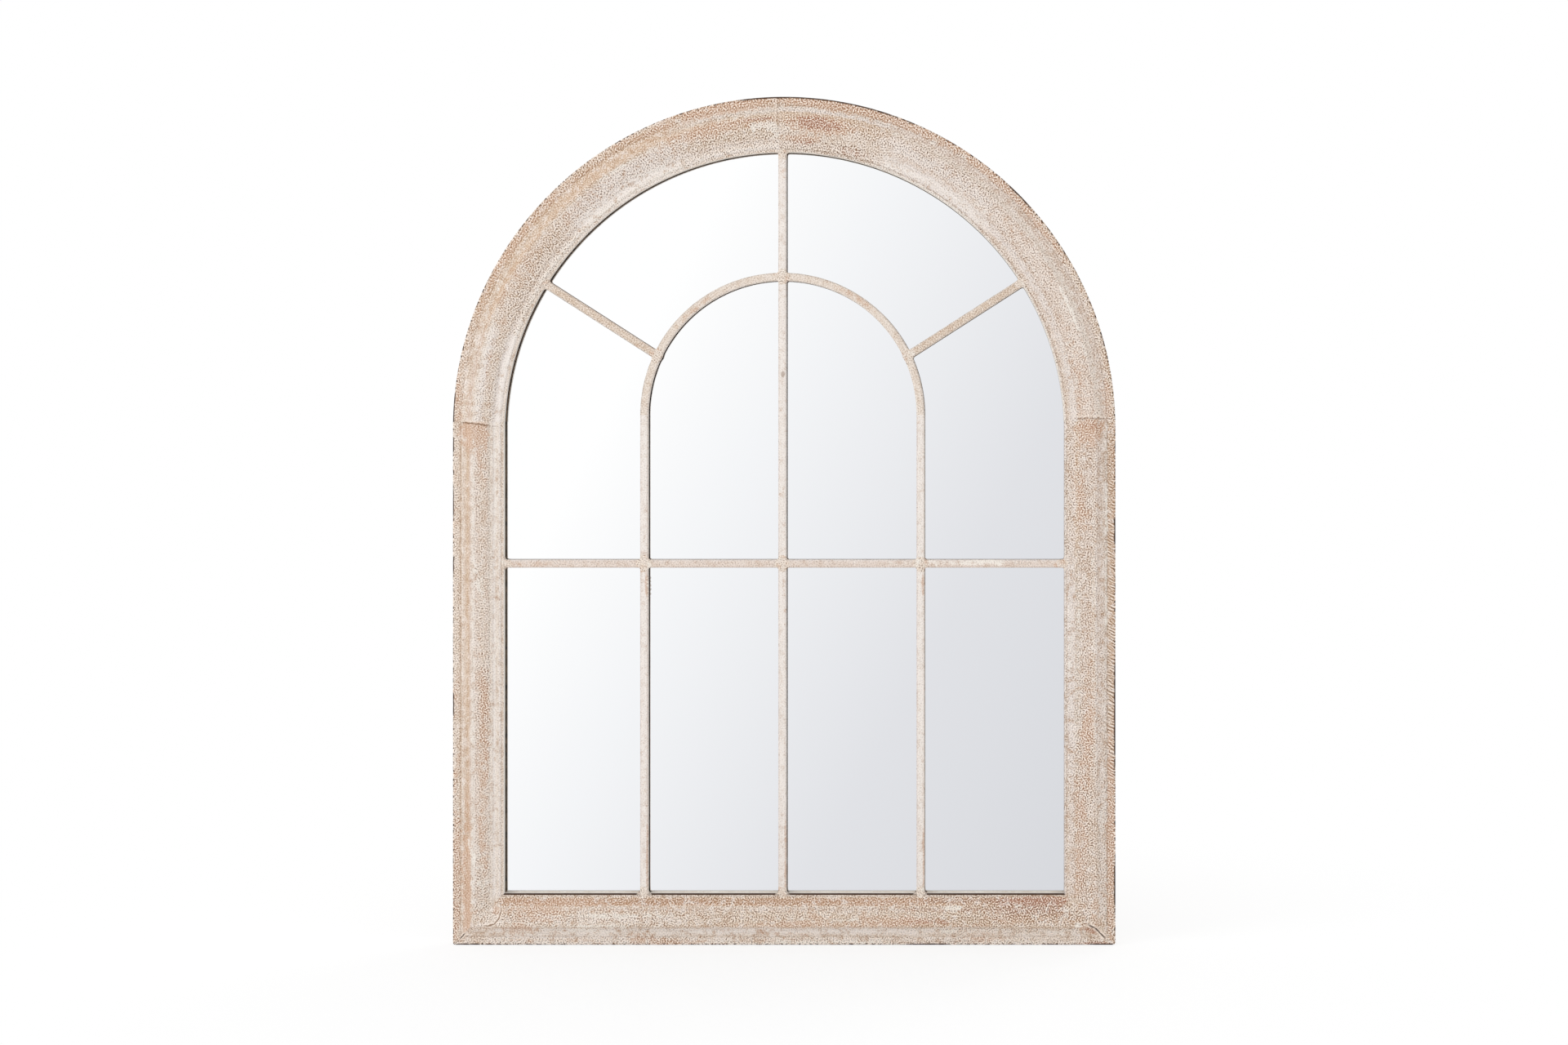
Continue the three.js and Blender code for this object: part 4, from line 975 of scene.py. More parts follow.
archSweep = makeArchSweep()
straightSweep = makeStraightSweep()
wireSweep = makeWireSweep()
scatterFittings = makeScatter()


def link(name, data):
    obj = bpy.data.objects.new(name, data)
    bpy.context.collection.objects.link(obj)
    return obj


def keepMesh(name, mesh, material):
    # the working mesh becomes an object with one material
    data = bpy.data.meshes.new(name)
    mesh.to_mesh(data)
    mesh.free()
    data.materials.append(material)
    return link(name, data)


def prism(outline, front, back, foot=0.0):
    # a flat shape with two faces and a rim
    mesh = bmesh.new()
    near = [mesh.verts.new((x, front, foot + z)) for x, z in outline]
    far = [mesh.verts.new((x, back, foot + z)) for x, z in outline]
    mesh.faces.new(near)
    mesh.faces.new(list(reversed(far)))
    for i in range(len(outline)):
        j = (i + 1) % len(outline)
        mesh.faces.new((near[j], near[i], far[i], far[j]))
    bmesh.ops.recalc_face_normals(mesh, faces=mesh.faces)
    return mesh


def grow(name, mesh, tree, values):
    # runs a geometry tree on a mesh and keeps the result as a plain object
    source = link(name + "Source", mesh)
    modifier = source.modifiers.new("grow", "NODES")
    modifier.node_group = tree
    for socket in tree.interface.items_tree:
        if socket.in_out == "INPUT" and socket.name in values:
            modifier[socket.identifier] = values[socket.name]
    graph = bpy.context.evaluated_depsgraph_get()
    result = bpy.data.meshes.new_from_object(
        source.evaluated_get(graph), preserve_all_data_layers=True, depsgraph=graph)
    source.modifiers.remove(modifier)
    bpy.data.objects.remove(source)
    result.name = name
    return link(name, result)


def tidyMesh(obj, sharpAngle=32):
    # closes the ends, points the faces outwards and shades smooth but for the sharp edges
    mesh = bmesh.new()
    mesh.from_mesh(obj.data)
    bmesh.ops.remove_doubles(mesh, verts=mesh.verts, dist=0.000004)
    bmesh.ops.holes_fill(mesh, edges=[edge for edge in mesh.edges if edge.is_boundary], sides=0)
    bmesh.ops.recalc_face_normals(mesh, faces=mesh.faces)
    for face in mesh.faces:
        face.smooth = True
    for edge in mesh.edges:
        edge.smooth = edge.calc_face_angle(0) < math.radians(sharpAngle)
    bmesh.ops.triangulate(mesh, faces=[face for face in mesh.faces if len(face.verts) > 4])
    mesh.to_mesh(obj.data)
    mesh.free()
    return obj


def dress(obj, slotName, *nodes, body="frame"):
    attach(obj, body)
    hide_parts(*nodes)
    return obj


def memberValues(name, look):
    return {"Wobble": frameSizes["handWobble"], "Chips": frameSizes["chips"], "Seed": look["seed"],
            "Material": whitewash(name + "Finish", look)}


def archQuarter(name, look, startAtCrown, endAtCrown):
    sizes = frameSizes
    obj = grow(name, sectionMesh(name + "Section", mouldingSection), archSweep, {
        "Stations": 420, "Radius": sizes["halfWidth"], "Mid Radius": sizes["midRadius"],
        "Centre Z": bottomZ + sizes["springHeight"], "Growth": sizes["crownGrowth"],
        "Spring Cut": bottomZ + sizes["stileHeight"], "Crown Cut": sizes["crownSeam"],
        "Start At Crown": startAtCrown, "End At Crown": endAtCrown, **memberValues(name, look)})
    return dress(tidyMesh(obj), "whitewashed_wood", name)


def straightMember(name, look, origin, across, along, start, startSlope, end, endSlope):
    obj = grow(name, sectionMesh(name + "Section", mouldingSection), straightSweep, {
        "Stations": 440, "Origin": origin, "Across": across, "Along": along, "Start": start,
        "Start Slope": startSlope, "End": end, "End Slope": endSlope, "Corner": frameSizes["cornerWear"],
        **memberValues(name, look)})
    return dress(tidyMesh(obj), "whitewashed_wood", name)


half = frameSizes["halfWidth"]
stileEnd = frameSizes["stileHeight"]
archQuarter("right_arch_quarter", rightArchLook, False, True)
archQuarter("left_arch_quarter", leftArchLook, True, False)
for name, look, sign in (("left_stile", leftStileLook, -1), ("right_stile", rightStileLook, 1)):
    straightMember(name, look, (sign * half, 0, bottomZ), (-sign, 0, 0), (0, 0, 1), 0.0, 1.0, stileEnd, 0.0)
straightMember("bottom_rail", railLook, (0, 0, bottomZ), (0, 0, 1), (1, 0, 0), -half, 1.0, half, -1.0)
print("frame members done")


grille = {
    "shift": -2 * mm,
    "archRadius": 144 * mm,
    "archRise": 13.5 * mm,  # the inner arch's centre above the frame's springing
    "crossHeight": 397 * mm,
    "fanAngle": 32.7,
    "fanAimDrop": 8.5 * mm,
    "seatInset": 47.5 * mm,
    "wobble": 0.22 * mm,
    "paintedShadeTop": 13.7,  # height in mm at which the paint stops on the sides; below it painted shade, near black
    "paintTop": 17.2,  # height in mm above which the stipple lies flat on the front
}


def barFinish(name, look):
    material, tree, surface = newMaterial(name)
    along, inset = sheetInMm(tree)
    x, height, z, inMm = placeInMm(tree)
    cloud = useGroup(tree, brushStreaks, {"Along": along, "Inset": inset, "Run": 38.0, "Breadth": 9.0,
                                          "Seed": look["seed"] + 4.0})["Value"]
    ragged = minus(tree, cloud, 0.5)
    wander = timesPlus(tree, ragged, 2.0, inset)
    ground = ramp(tree, over(tree, plus(tree, wander, 4.5), 9.0), [
        (0.0, tones[look["left"]]), (0.14, tones[look["left"]]), (0.25, tones[look["face"]]),
        (0.75, tones[look["face"]]), (0.86, tones[look["right"]]), (1.0, tones[look["right"]])])
    sums = {"clay": [times(tree, smoothRange(tree, cloud, 0.5, 0.72), look["wear"])],
            "chalk": [times(tree, smoothRange(tree, cloud, 0.48, 0.3), 0.4)], "umber": []}
    addPatches(tree, sums, look["patches"], along, inset, ragged)
    paint = useGroup(tree, limewash, {
        "Place": inMm, "Along": along, "Inset": inset, "Lift": calc(tree, "MINIMUM", height, grille["paintTop"]),
        "Ground": ground,
        "Clay": total(tree, sums["clay"]), "Chalk": total(tree, sums["chalk"]), "Grain": look["grain"],
        "Streak": 0.3, "Seed": look["seed"]})
    color = paint["Color"]
    if sums["umber"]:
        color = mixColor(tree, total(tree, sums["umber"]), color, tones["umber"])
    # the paint stops part of the way down the sides, and below it the sides and back are painted shade, near
    # black
    foot = grille["paintedShadeTop"]
    bareWoodAndShade = smoothRange(tree, timesPlus(tree, ragged, 1.5, height), foot + 0.4, foot - 0.4)
    color = mixColor(tree, bareWoodAndShade, color, tones["paintedShade"])
    matt(tree, surface, color, paint["Height"], 0.78, 0.5, 0.3 * mm)
    return material


def archReach(x, z, slope, inset):
    # how far a line from (x, z) runs before it meets that line of the frame's arch
    radius = frameSizes["halfWidth"] - inset
    centre = frameSizes["springHeight"] - inset * frameSizes["crownGrowth"]
    forward = x * math.cos(slope) + (z - centre) * math.sin(slope)
    return math.sqrt(forward ** 2 - (x * x + (z - centre) ** 2 - radius ** 2)) - forward


def straightBar(name, x, z, slope, length, look, lowered=0.0):
    c, s = math.cos(slope), math.sin(slope)
    obj = grow(name, sectionMesh(name + "Section", barSection(lowered)), straightSweep, {
        "Stations": max(40, int(length / (1.5 * mm))), "Origin": (x, 0, bottomZ + z), "Across": (s, 0, -c),
        "Along": (c, 0, s), "Start": 0.0, "End": length, "Wobble": grille["wobble"], "Chips": 0.0,
        "Seed": look["seed"], "Material": barFinish(name + "Paint", look)})
    return dress(tidyMesh(obj), "painted_bar_wood", name)


def barLook(seed, face, left, right, wear, grain, patches=()):
    return {"seed": seed, "face": face, "left": left, "right": right, "wear": wear, "grain": grain,
            "patches": list(patches)}


shift, seat = grille["shift"], grille["seatInset"]
innerSpring = frameSizes["springHeight"] + grille["archRise"]
aim = frameSizes["springHeight"] - grille["fanAimDrop"]
upright = math.pi / 2
fanEnds = {}

straightBar("centre_bar", shift, seat, upright, archReach(shift, seat, upright, seat),
            barLook(2.2, "pearl", "lilac", "pearl", 0.3, 0.28, [
                ("umber", 547, 0.5, 3.6, 2.2, 0.4, 0.55), ("clay", 330, 2, 60, 2, 0.7, 0.4),
                ("clay", 30, 3.4, 60, 1.0, 0.5, 0.8), ("clay", 770, 0, 22, 5, 0.5, 0.5)]))
straightBar("cross_bar", -half + seat, grille["crossHeight"], 0.0, 2 * (half - seat),
            barLook(6.3, "blush", "lilac", "blush", 0.3, 0.42, [
                ("clay", 584, 1.5, 8, 3, 0.5, 1.1), ("clay", 30, 1, 40, 3, 0.7, 0.4),
                ("chalk", 480, -1, 60, 3, 0.6, 0.6)]), 0.18)
for side, sign in (("left", -1), ("right", 1)):
    x = shift + sign * grille["archRadius"]
    straightBar(side + "_leg_bar", x, seat, upright, innerSpring - seat,
                barLook(10.0 + sign, "pearl", "lilac", "barCream", 0.25, 0.28, [
                    ("clay", 328, 2.6, 14, 1.6, 0.5, 0.9), ("clay", 40, 3.2, 50, 1.2, 0.6, 0.8)]))
    slope = math.radians(grille["fanAngle"] if sign > 0 else 180 - grille["fanAngle"])
    drop = aim - innerSpring
    rise = drop * math.sin(slope)
    inner = math.sqrt(grille["archRadius"] ** 2 - drop ** 2 + rise ** 2) - rise
    outer = archReach(shift, aim, slope, seat)
    fanEnds[side] = (slope, inner)
    straightBar(side + "_fan_bar", shift + inner * math.cos(slope), aim + inner * math.sin(slope), slope,
                outer - inner, barLook(14.0 + sign, "sand", "greyCream", "warmCream", 0.6, 0.6), 0.24)

innerArch = grow("inner_arch_bar", sectionMesh("innerArchSection", barSection(0.12)), archSweep, {
    "Stations": 300, "Radius": grille["archRadius"], "Mid Radius": grille["archRadius"], "Centre X": shift,
    "Centre Z": bottomZ + innerSpring, "Spring Cut": bottomZ + innerSpring, "Wobble": grille["wobble"],
    "Chips": 0.0, "Seed": 17.0, "Material": barFinish(
        "innerArchPaint", barLook(17.0, "cream", "greyCream", "paleCream", 0.4, 0.45, [
            ("clay", 150, -1, 30, 2.5, 0.6, 0.6), ("clay", 330, 1, 30, 2.5, 0.6, 0.6)]))})
dress(tidyMesh(innerArch), "painted_bar_wood", "inner_arch_bar")
print("bars done")


filler = {
    "barHalf": 4.25 * mm,
    "reachOpen": 8.5 * mm,  # along the bars
    "reachFrame": 3.6 * mm,  # over the frame
    "overlap": 0.8 * mm,  # from the sight edge in to the middle of a joint there
    "fillet": 2.3 * mm,
    "front": 19.45 * mm,
    "side": 17.0 * mm,
    "foot": 11.9 * mm,
    "crown": 0.4 * mm,
    "sink": 0.2 * mm,
    "lumps": 0.35 * mm,
    "drips": [(-142.6, 381.5, 1.5), (-142.3, 377.8, 1.2), (-142.5, 373.6, 1.7), (-142.2, 369.2, 1.3),
              (-142.5, 364.6, 1.6), (-144.2, 376, 1.4), (-142.4, 360.6, 1.0)],
    "rays": 72,
    "rings": 9,
}
frontPoints = [(x * mm, y * mm) for x, y in sectionPoints(mouldingSection)[6:]]


def frontHeight(inset):
    # the moulding's front at that inset
    for (x0, y0), (x1, y1) in zip(frontPoints, frontPoints[1:]):
        if x0 <= inset <= x1 and x1 > x0:
            return y0 + (y1 - y0) * (inset - x0) / (x1 - x0)
    return 0.0


def insetAt(x, z):
    if z < frameSizes["springHeight"]:
        return min(half - abs(x), z)
    inset = seat
    for _ in range(5):
        inset = half - math.hypot(x, z - frameSizes["springHeight"] + inset * frameSizes["crownGrowth"])
    return inset


def softMin(a, b, softness):
    share = max(softness - abs(a - b), 0.0) / softness
    return min(a, b) - share * share * softness / 4


def armDistance(arm, x, z):
    # from the middle line of a bar; an arm with a length ends there
    if arm["kind"] == "arc":
        return abs(math.hypot(x - shift, z - innerSpring) - grille["archRadius"])
    dx, dz = x - arm["x"], z - arm["z"]
    c, s = math.cos(arm["slope"]), math.sin(arm["slope"])
    forward = dx * c + dz * s
    if arm["oneWay"] and forward < 0:
        return math.hypot(dx, dz)
    return abs(dx * s - dz * c)


def straightArm(x, z, slope, oneWay=False):
    return {"kind": "straight", "x": x, "z": z, "slope": slope, "oneWay": oneWay}


def fillerJoint(mesh, x0, z0, arms, atFrame, seed):
    f = filler

    def outside(x, z):
        # below zero inside the filled outline
        value = None
        for arm in arms:
            off = armDistance(arm, x, z) - f["barHalf"]
            value = off if value is None else softMin(value, off, f["fillet"])
        bars = value
        if atFrame:
            value = softMin(value, insetAt(x, z) - frameSizes["sightEdge"], f["fillet"])
        return value, bars

    def top(x, z, share):
        value, bars = outside(x, z)
        fall = min(max((value + 1.2 * mm) / (1.3 * mm), 0.0), 1.0)
        height = f["front"] - (f["front"] - f["side"]) * fall * fall
        if atFrame:
            inset = insetAt(x, z)
            if inset < frameSizes["sightEdge"]:
                wood = frontHeight(inset)
                onBar = f["front"] if bars < 0 else f["side"]
                height = -softMin(-wood, -onBar, 1.2 * mm)
        bump = mathutils.noise.noise(Vector((x * 330, seed, z * 330)))
        return height + f["crown"] * (1 - share * share) - f["sink"] + f["lumps"] * bump * (1 - share ** 4)

    rays, rings = f["rays"], f["rings"]
    centreVert = mesh.verts.new((x0, -top(x0, z0, 0.0), bottomZ + z0))
    circles = [[] for _ in range(rings + 1)]
    for i in range(rays):
        angle = 2 * math.pi * i / rays
        c, s = math.cos(angle), math.sin(angle)
        uneven = 1 + 0.22 * mathutils.noise.noise(Vector((c * 1.3, s * 1.3, seed * 3.1)))
        inFrame = atFrame and insetAt(x0 + 4 * mm * c, z0 + 4 * mm * s) < frameSizes["sightEdge"] - 1 * mm
        limit = (f["reachFrame"] if inFrame else f["reachOpen"]) * uneven
        reach = 1.5 * mm
        while reach < limit:
            taper = 0.45 * mm * (reach / limit) ** 4
            if outside(x0 + reach * c, z0 + reach * s)[0] + taper > 0.12 * mm:
                break
            reach += 0.1 * mm
        reach = min(reach, limit)
        for ring in range(1, rings + 1):
            r = reach * ring / rings
            x, z = x0 + r * c, z0 + r * s
            circles[ring - 1].append(mesh.verts.new((x, -top(x, z, r / limit), bottomZ + z)))
        circles[rings].append(mesh.verts.new((x, -f["foot"], bottomZ + z)))
    last = mesh.verts.new((x0, -f["foot"], bottomZ + z0))
    for i in range(rays):
        j = (i + 1) % rays
        mesh.faces.new((centreVert, circles[0][i], circles[0][j]))
        for inner2, outer2 in zip(circles, circles[1:]):
            mesh.faces.new((inner2[i], outer2[i], outer2[j], inner2[j]))
        mesh.faces.new((last, circles[rings][j], circles[rings][i]))


def paintLump(mesh, x, z, size):
    # a drop of paint dried on the edge of a bar
    made = bmesh.ops.create_uvsphere(mesh, u_segments=20, v_segments=12, radius=1.0)["verts"]
    for vert in made:
        uneven = 1 + 0.3 * mathutils.noise.noise(vert.co * 1.4 + Vector((x * 900, z * 900, 0)))
        a, b, c = vert.co * uneven * size
        vert.co = (x + a * 0.75, -17.9 * mm + b, bottomZ + z + c * 1.25)


def fillerFinish():
    material, tree, surface = newMaterial("jointFillerPaint")
    x, height, z, inMm = placeInMm(tree)
    cloud = noiseOf(tree, inMm, 0.14, 3.0)
    paint = useGroup(tree, limewash, {
        "Place": inMm, "Along": x, "Inset": z, "Lift": calc(tree, "MINIMUM", height, grille["paintTop"]),
        "Ground": tones["cream"],
        "Clay": times(tree, smoothRange(tree, cloud, 0.48, 0.66), 0.7),
        "Chalk": times(tree, smoothRange(tree, cloud, 0.47, 0.34), 0.7), "Grain": 0.7, "Streak": 0.0})
    # below the paint the filler's sides are painted shade, near black
    foot = grille["paintedShadeTop"]
    bareWoodAndShade = smoothRange(tree, height, foot + 0.4, foot - 0.4)
    color = mixColor(tree, bareWoodAndShade, paint["Color"], tones["paintedShade"])
    matt(tree, surface, color, paint["Height"], 0.82, 0.6, 0.35 * mm)
    return material


def barFiller():
    mesh = bmesh.new()
    cross, edge, overlap = grille["crossHeight"], frameSizes["sightEdge"], filler["overlap"]
    level = straightArm(0.0, cross, 0.0)
    arc = {"kind": "arc"}
    uprights = [shift, shift - grille["archRadius"], shift + grille["archRadius"]]
    for i, x in enumerate(uprights):
        fillerJoint(mesh, x, cross, [straightArm(x, cross, upright), level], False, 1.7 + i)
        fillerJoint(mesh, x, edge - overlap, [straightArm(x, edge, upright)], True, 5.3 + i)
    middle = straightArm(shift, 0.0, upright)
    fillerJoint(mesh, shift, innerSpring + grille["archRadius"], [middle, arc], False, 9.1)
    crownEdge = seat + archReach(shift, seat, upright, edge)
    fillerJoint(mesh, shift, crownEdge + overlap, [middle], True, 10.4)
    for i, sign in enumerate((-1, 1)):
        fillerJoint(mesh, sign * (half - edge + overlap), cross, [level], True, 12.2 + i)
    for i, (slope, inner) in enumerate(fanEnds.values()):
        c, s = math.cos(slope), math.sin(slope)
        arm = straightArm(shift + inner * c, aim + inner * s, slope, True)
        fillerJoint(mesh, arm["x"], arm["z"], [arm, arc], False, 15.6 + i)
        outer = archReach(shift, aim, slope, edge - overlap)
        outerArm = straightArm(shift, aim, slope)
        fillerJoint(mesh, shift + outer * c, aim + outer * s, [outerArm], True, 18.9 + i)
    for x, z, size in filler["drips"]:
        paintLump(mesh, x * mm, z * mm, size * mm)
    bmesh.ops.recalc_face_normals(mesh, faces=mesh.faces)
    for face in mesh.faces:
        face.smooth = True
    for edgeLine in mesh.edges:
        edgeLine.smooth = edgeLine.calc_face_angle(0) < math.radians(50)
    obj = keepMesh("bar_filler", mesh, fillerFinish())
    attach(obj, "frame")


barFiller()
print("filler done")


def mirrorFinish():
    material, tree, surface = newMaterial("silveredGlass")
    surface.inputs["Base Color"].default_value = (0.965, 0.972, 0.975, 1.0)
    surface.inputs["Metallic"].default_value = 1.0
    surface.inputs["Roughness"].default_value = 0.0
    return material


sheets = {  # both cut to the same outline; heights above the frame's back
    "inset": 45.4 * mm,
    "foot": 44.8 * mm,
    "arcSteps": 160,
    "glass": (6.8 * mm, 9.8 * mm),
    "board": (3.5 * mm, 6.5 * mm),
}


def archedSheet(name, heights, material):
    radius = frameSizes["halfWidth"] - sheets["inset"]
    centre = frameSizes["springHeight"] - sheets["inset"] * frameSizes["crownGrowth"]
    outline = [(-radius, sheets["foot"]), (radius, sheets["foot"])]
    for i in range(sheets["arcSteps"] + 1):
        angle = math.pi * i / sheets["arcSteps"]
        outline.append((radius * math.cos(angle), centre + radius * math.sin(angle)))
    low, high = heights
    return keepMesh(name, prism(outline, -high, -low, bottomZ), material)


dress(archedSheet("mirror_glass", sheets["glass"], mirrorFinish()), "silvered_glass", "mirror_glass")
print("glass done")


def boardFinish():
    material, tree, surface = newMaterial("pressedBoard")
    place = add(tree, "ShaderNodeTexCoord").outputs["Object"]
    speck, cloud = noiseOf(tree, place, 900.0, 3.0), noiseOf(tree, place, 9.0, 3.0)
    color = mixColor(tree, smoothRange(tree, speck, 0.4, 0.62), srgb(122, 88, 60), srgb(150, 112, 80))
    color = mixColor(tree, times(tree, smoothRange(tree, cloud, 0.4, 0.7), 0.35), color, srgb(104, 74, 50))
    feed(tree, surface.inputs["Base Color"], color)
    surface.inputs["Roughness"].default_value = 0.72
    return material


def metalFinish(name, tone, roughness):
    material, tree, surface = newMaterial(name)
    place = add(tree, "ShaderNodeTexCoord").outputs["Object"]
    scuff = noiseOf(tree, place, 420.0, 3.0)
    darker = tuple(value * 0.72 for value in srgb(*tone)[:3]) + (1.0,)
    color = mixColor(tree, smoothRange(tree, scuff, 0.45, 0.7), srgb(*tone), darker)
    feed(tree, surface.inputs["Base Color"], color)
    worn = smoothRange(tree, scuff, 0.3, 0.7, roughness - 0.06, roughness + 0.1)
    feed(tree, surface.inputs["Roughness"], worn)
    surface.inputs["Metallic"].default_value = 1.0
    return material


def rubberFinish():
    material, tree, surface = newMaterial("blackRubber")
    place = add(tree, "ShaderNodeTexCoord").outputs["Object"]
    dust = noiseOf(tree, place, 300.0)
    feed(tree, surface.inputs["Base Color"],
         mixColor(tree, smoothRange(tree, dust, 0.45, 0.7), srgb(38, 38, 39), srgb(58, 57, 56)))
    surface.inputs["Roughness"].default_value = 0.8
    return material


zinc = metalFinish("zincedSteel", (190, 193, 197), 0.34)
brass = metalFinish("brassedSteel", (198, 165, 98), 0.28)
rubber = rubberFinish()
dress(archedSheet("backing_board", sheets["board"], boardFinish()), "hardboard", "backing_board")

hanger = {
    "angle": 35, "inset": 25 * mm, "wireRadius": 1.5 * mm, "halfWidth": 11.5 * mm, "straight": 7 * mm,
    "corner": 3 * mm, "pinStandoff": 3.6 * mm,
}
bumper = {"radius": 7 * mm, "height": 62 * mm, "inset": 22 * mm, "tall": 6.6 * mm, "dome": 2.5 * mm,
          "off": 0.3 * mm}  # how far it all stands off the wood
points = {"length": 12 * mm, "width": 8 * mm, "thickness": 0.6 * mm, "front": 3.2 * mm, "inset": 44.5 * mm,
          "archAngles": (20, 62, 118, 160)}


def glazingPoints():
    a, b = points["length"] / 2, points["width"] / 2
    outline = [(-a, -b * 0.75), (-a * 0.7, -b), (a * 0.3, -b), (a, -b / 3), (a, b / 3), (a * 0.3, b),
               (-a * 0.7, b), (-a, b * 0.75)]
    fitting = bpy.data.meshes.new("glazingPointShape")
    mesh = prism(outline, -points["front"], points["thickness"] - points["front"])
    mesh.to_mesh(fitting)
    mesh.free()
    shape = bpy.data.objects.new("glazingPointShape", fitting)

    inset = points["inset"]
    wall = frameSizes["halfWidth"] - inset
    spread = frameSizes["springHeight"] - inset
    places = []
    for i in (1, 2):
        places += [(-wall, inset + spread * i / 3, 180), (wall, inset + spread * i / 3, 0)]
    places += [(wall * (2 * i / 3 - 1), inset, -90) for i in (1, 2)]
    centre = frameSizes["springHeight"] - inset * frameSizes["crownGrowth"]
    for angle in points["archAngles"]:
        turned = math.radians(angle)
        places.append((wall * math.cos(turned), centre + wall * math.sin(turned), angle))
    data = bpy.data.meshes.new("glazingPointPlaces")
    data.from_pydata([(x, 0, bottomZ + z) for x, z, turned in places], [], [])
    turns = data.attributes.new("turn", "FLOAT", "POINT")
    for i, (x, z, angle) in enumerate(places):
        turns.data[i].value = -math.radians(angle)
    made = grow("glazing_points", data, scatterFittings, {"Fitting": shape, "Material": zinc})
    bpy.data.objects.remove(shape)
    dress(tidyMesh(made), "zinced_steel", *["glazing_point_%d" % i for i in range(1, 11)])


def hangerRing(name, x, body):
    h, side, corner = hanger, hanger["halfWidth"], hanger["corner"]
    path = [(0.15 * mm, 0.0), (side - corner, 0.0)]
    path += [(side - corner + corner * math.sin(t), corner * math.cos(t) - corner)
             for t in (math.radians(angle) for angle in range(10, 91, 10))]
    path += [(side * math.cos(t), -h["straight"] - side * math.sin(t))
             for t in (math.radians(angle) for angle in range(0, 181, 6))]
    path += [(-side + corner - corner * math.sin(t), corner * math.cos(t) - corner)
             for t in (math.radians(angle) for angle in range(90, 9, -10))]
    path += [(corner - side, 0.0), (-0.15 * mm, 0.0)]
    data = bpy.data.meshes.new(name + "Path")
    data.from_pydata([(x + px, h["pinStandoff"], pz) for px, pz in path],
                     [(i, i + 1) for i in range(len(path) - 1)], [])
    made = grow(name, data, wireSweep, {"Wire Radius": h["wireRadius"], "Sides": 20, "Material": brass})
    dress(tidyMesh(made, 40), "brassed_steel", name, body=body)


def domedBumper(name, x):
    b = bumper
    radius, off, base = b["radius"], b["off"], b["tall"] - b["dome"]
    line = [(0, off), (radius - off, off), (radius, 2 * off), (radius, base)]
    line += [(radius * math.cos(t), base + (b["dome"] + off) * math.sin(t))
             for t in (math.radians(angle) for angle in range(10, 90, 10))]
    line.append((0, b["tall"] + off))
    mesh = bmesh.new()
    corners = [mesh.verts.new((r, y, 0)) for r, y in line]
    edges = [mesh.edges.new((corners[i], corners[i + 1])) for i in range(len(corners) - 1)]
    bmesh.ops.spin(mesh, geom=corners + edges, cent=(0, 0, 0), axis=(0, 1, 0), angle=2 * math.pi, steps=48)
    bmesh.ops.translate(mesh, verts=mesh.verts, vec=(x, 0, bottomZ + b["height"]))
    dress(tidyMesh(keepMesh(name, mesh, rubber)), "black_rubber", name)


glazingPoints()
hangerX = (frameSizes["halfWidth"] - hanger["inset"]) * math.cos(math.radians(hanger["angle"]))
for side, sign in (("left", -1), ("right", 1)):
    hangerRing(side + "_hanger_ring", sign * hangerX, side + "_ring")
    domedBumper(side + "_bumper", sign * (half - bumper["inset"]))
    for node in (side + "_hanger_strap", side + "_hanger_screw_1", side + "_hanger_screw_2"):
        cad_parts[node].data.materials.clear()
        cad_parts[node].data.materials.append(zinc)
print("back done")


studio = {
    "floorTone": (250, 250, 250),
    "fill": 0.9,
    "keyPower": 33.0,
    "backShare": 0.6,
    "lampSize": 1.6,
    "aim": (0, 0, -0.25),
    "floorHalf": 9.0,
    "mirrorSlant": -0.52,  # how much faster the mirrored studio darkens downwards than to the right
    "mirrorSpan": 0.2,
    "shadowNear": 0.3,  # metres from the object within which the floor shows its shadow
    "shadowFar": 1.2,
}


def makeFloor():
    material, tree, surface = newMaterial("studioFloor")
    surface.inputs["Base Color"].default_value = srgb(*studio["floorTone"])
    surface.inputs["Roughness"].default_value = 0.9
    path = add(tree, "ShaderNodeLightPath").outputs
    place = add(tree, "ShaderNodeTexCoord").outputs["Object"]
    reach = add(tree, "ShaderNodeVectorMath", {0: place}, operation="LENGTH").outputs["Value"]
    away = smoothRange(tree, reach, studio["shadowNear"], studio["shadowFar"], 0.45, 1.0)
    white = add(tree, "ShaderNodeEmission")
    white.inputs["Color"].default_value = (1.0, 1.0, 1.0, 1.0)
    white.inputs["Strength"].default_value = 1.0
    seen = add(tree, "ShaderNodeMixShader", {
        0: times(tree, away, path["Is Camera Ray"]), 1: surface.outputs[0], 2: white.outputs[0]})
    clear = add(tree, "ShaderNodeBsdfTransparent")
    either = calc(tree, "MAXIMUM", path["Is Glossy Ray"], path["Is Transmission Ray"])
    shown = add(tree, "ShaderNodeMixShader", {0: either, 1: seen.outputs[0], 2: clear.outputs[0]})
    tree.links.new(shown.outputs[0], tree.nodes["Material Output"].inputs["Surface"])
    data = bpy.data.meshes.new("studio_floor")
    z = cadBox[0].z - 0.2 * mm
    far = studio["floorHalf"]
    data.from_pydata([(-far, -far, z), (far, -far, z), (far, far, z), (-far, far, z)], [], [(0, 1, 2, 3)])
    data.materials.append(material)
    link("studio_floor", data)


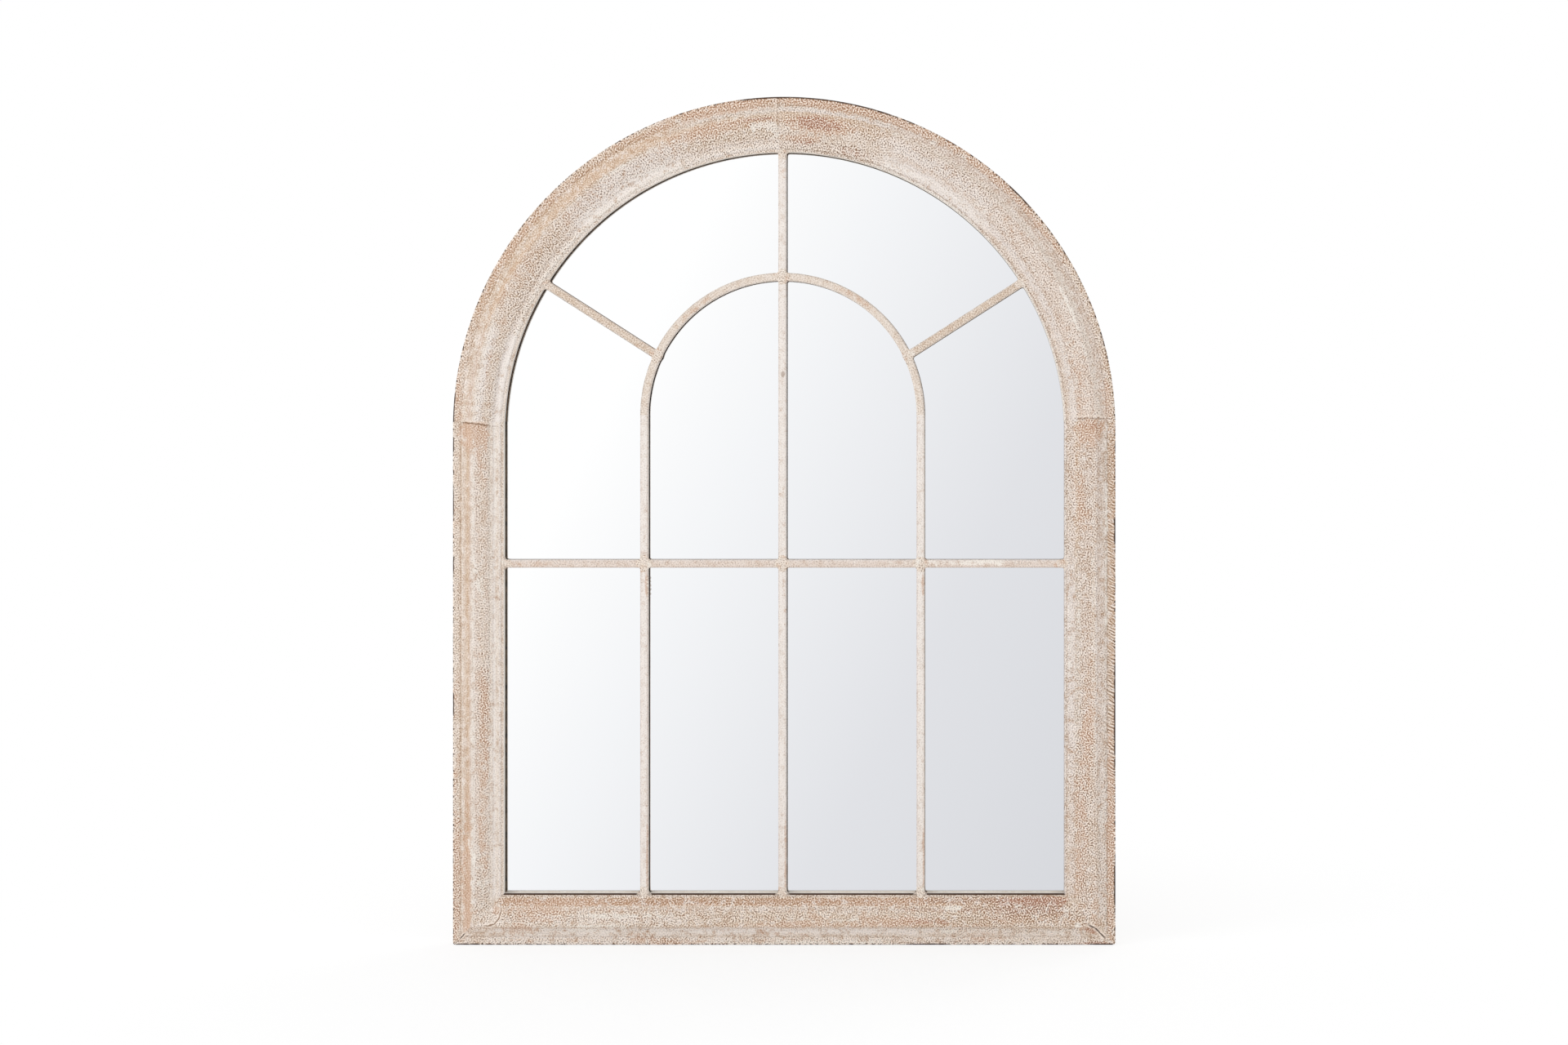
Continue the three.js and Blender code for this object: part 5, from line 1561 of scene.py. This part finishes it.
def makeWorld():
    # white to the eye, and in the mirror a studio that falls from white at the upper left to grey
    world = bpy.data.worlds.new("studioWorld")
    bpy.context.scene.world = world
    world.use_nodes = True
    tree = world.node_tree
    background = tree.nodes["Background"]
    ray = partsOf(tree, add(tree, "ShaderNodeTexCoord").outputs["Generated"])
    depth = calc(tree, "MAXIMUM", times(tree, ray[1], -1.0), 0.25)
    slant = over(tree, timesPlus(tree, ray[2], studio["mirrorSlant"], ray[0]), depth)
    span = studio["mirrorSpan"]
    seen = ramp(tree, smoothRange(tree, slant, -span, span, curve="LINEAR"), [
        (0.05, srgb(255, 255, 255)), (0.22, srgb(244, 245, 247)), (0.5, srgb(225, 226, 230)),
        (1.0, srgb(206, 208, 213))])
    seen = mixColor(tree, 1.0, seen, (1.035, 1.03, 1.028, 1.0), "MULTIPLY")
    path = add(tree, "ShaderNodeLightPath")
    mirrored = calc(tree, "MAXIMUM", path.outputs["Is Glossy Ray"], path.outputs["Is Transmission Ray"])
    level = studio["fill"]
    color = mixColor(tree, mirrored, (level, level, level, 1.0), seen)
    color = mixColor(tree, path.outputs["Is Camera Ray"], color, (1.0, 1.0, 1.0, 1.0))
    feed(tree, background.inputs["Color"], color)


def makeLamp(name, place, power):
    lamp = bpy.data.lights.new(name, "AREA")
    lamp.shape = "RECTANGLE"
    lamp.size = lamp.size_y = studio["lampSize"]
    lamp.energy = power
    obj = link(name, lamp)
    obj.location = place
    obj.rotation_mode = "QUATERNION"
    obj.rotation_quaternion = (Vector(studio["aim"]) - Vector(place)).to_track_quat("-Z", "Y")
    obj.visible_glossy = False


makeFloor()
makeWorld()
makeLamp("keyLamp", (-2.6, -1.9, 1.9), studio["keyPower"])
makeLamp("backLamp", (1.8, 2.6, 1.4), studio["keyPower"] * studio["backShare"])


camera = {
    "x": 265 * mm,  # the grey reflections beside the bars show that it stands right of the middle
    "height": 521 * mm,
    "distance": 2.6,
    "planeHeight": 21 * mm,  # the outline's own plane in front of the frame's back
    "viewWidth": 1920 * 0.85 * mm,  # the photograph's width at 0.85 mm to the pixel
    "sensor": 36.0,
    "middleHeight": 440 * mm,
}


def makeCamera():
    data = bpy.data.cameras.new("photoCamera")
    data.sensor_width = camera["sensor"]
    data.lens = camera["sensor"] * camera["distance"] / camera["viewWidth"]
    data.shift_x = -camera["x"] / camera["viewWidth"]
    data.shift_y = (camera["middleHeight"] - camera["height"]) / camera["viewWidth"]
    obj = link("photoCamera", data)
    obj.location = (camera["x"], -camera["planeHeight"] - camera["distance"], bottomZ + camera["height"])
    obj.rotation_euler = (math.radians(90), 0, 0)
    bpy.context.scene.camera = obj


makeCamera()
bpy.context.scene.view_settings.view_transform = "Standard"
print("studio done")
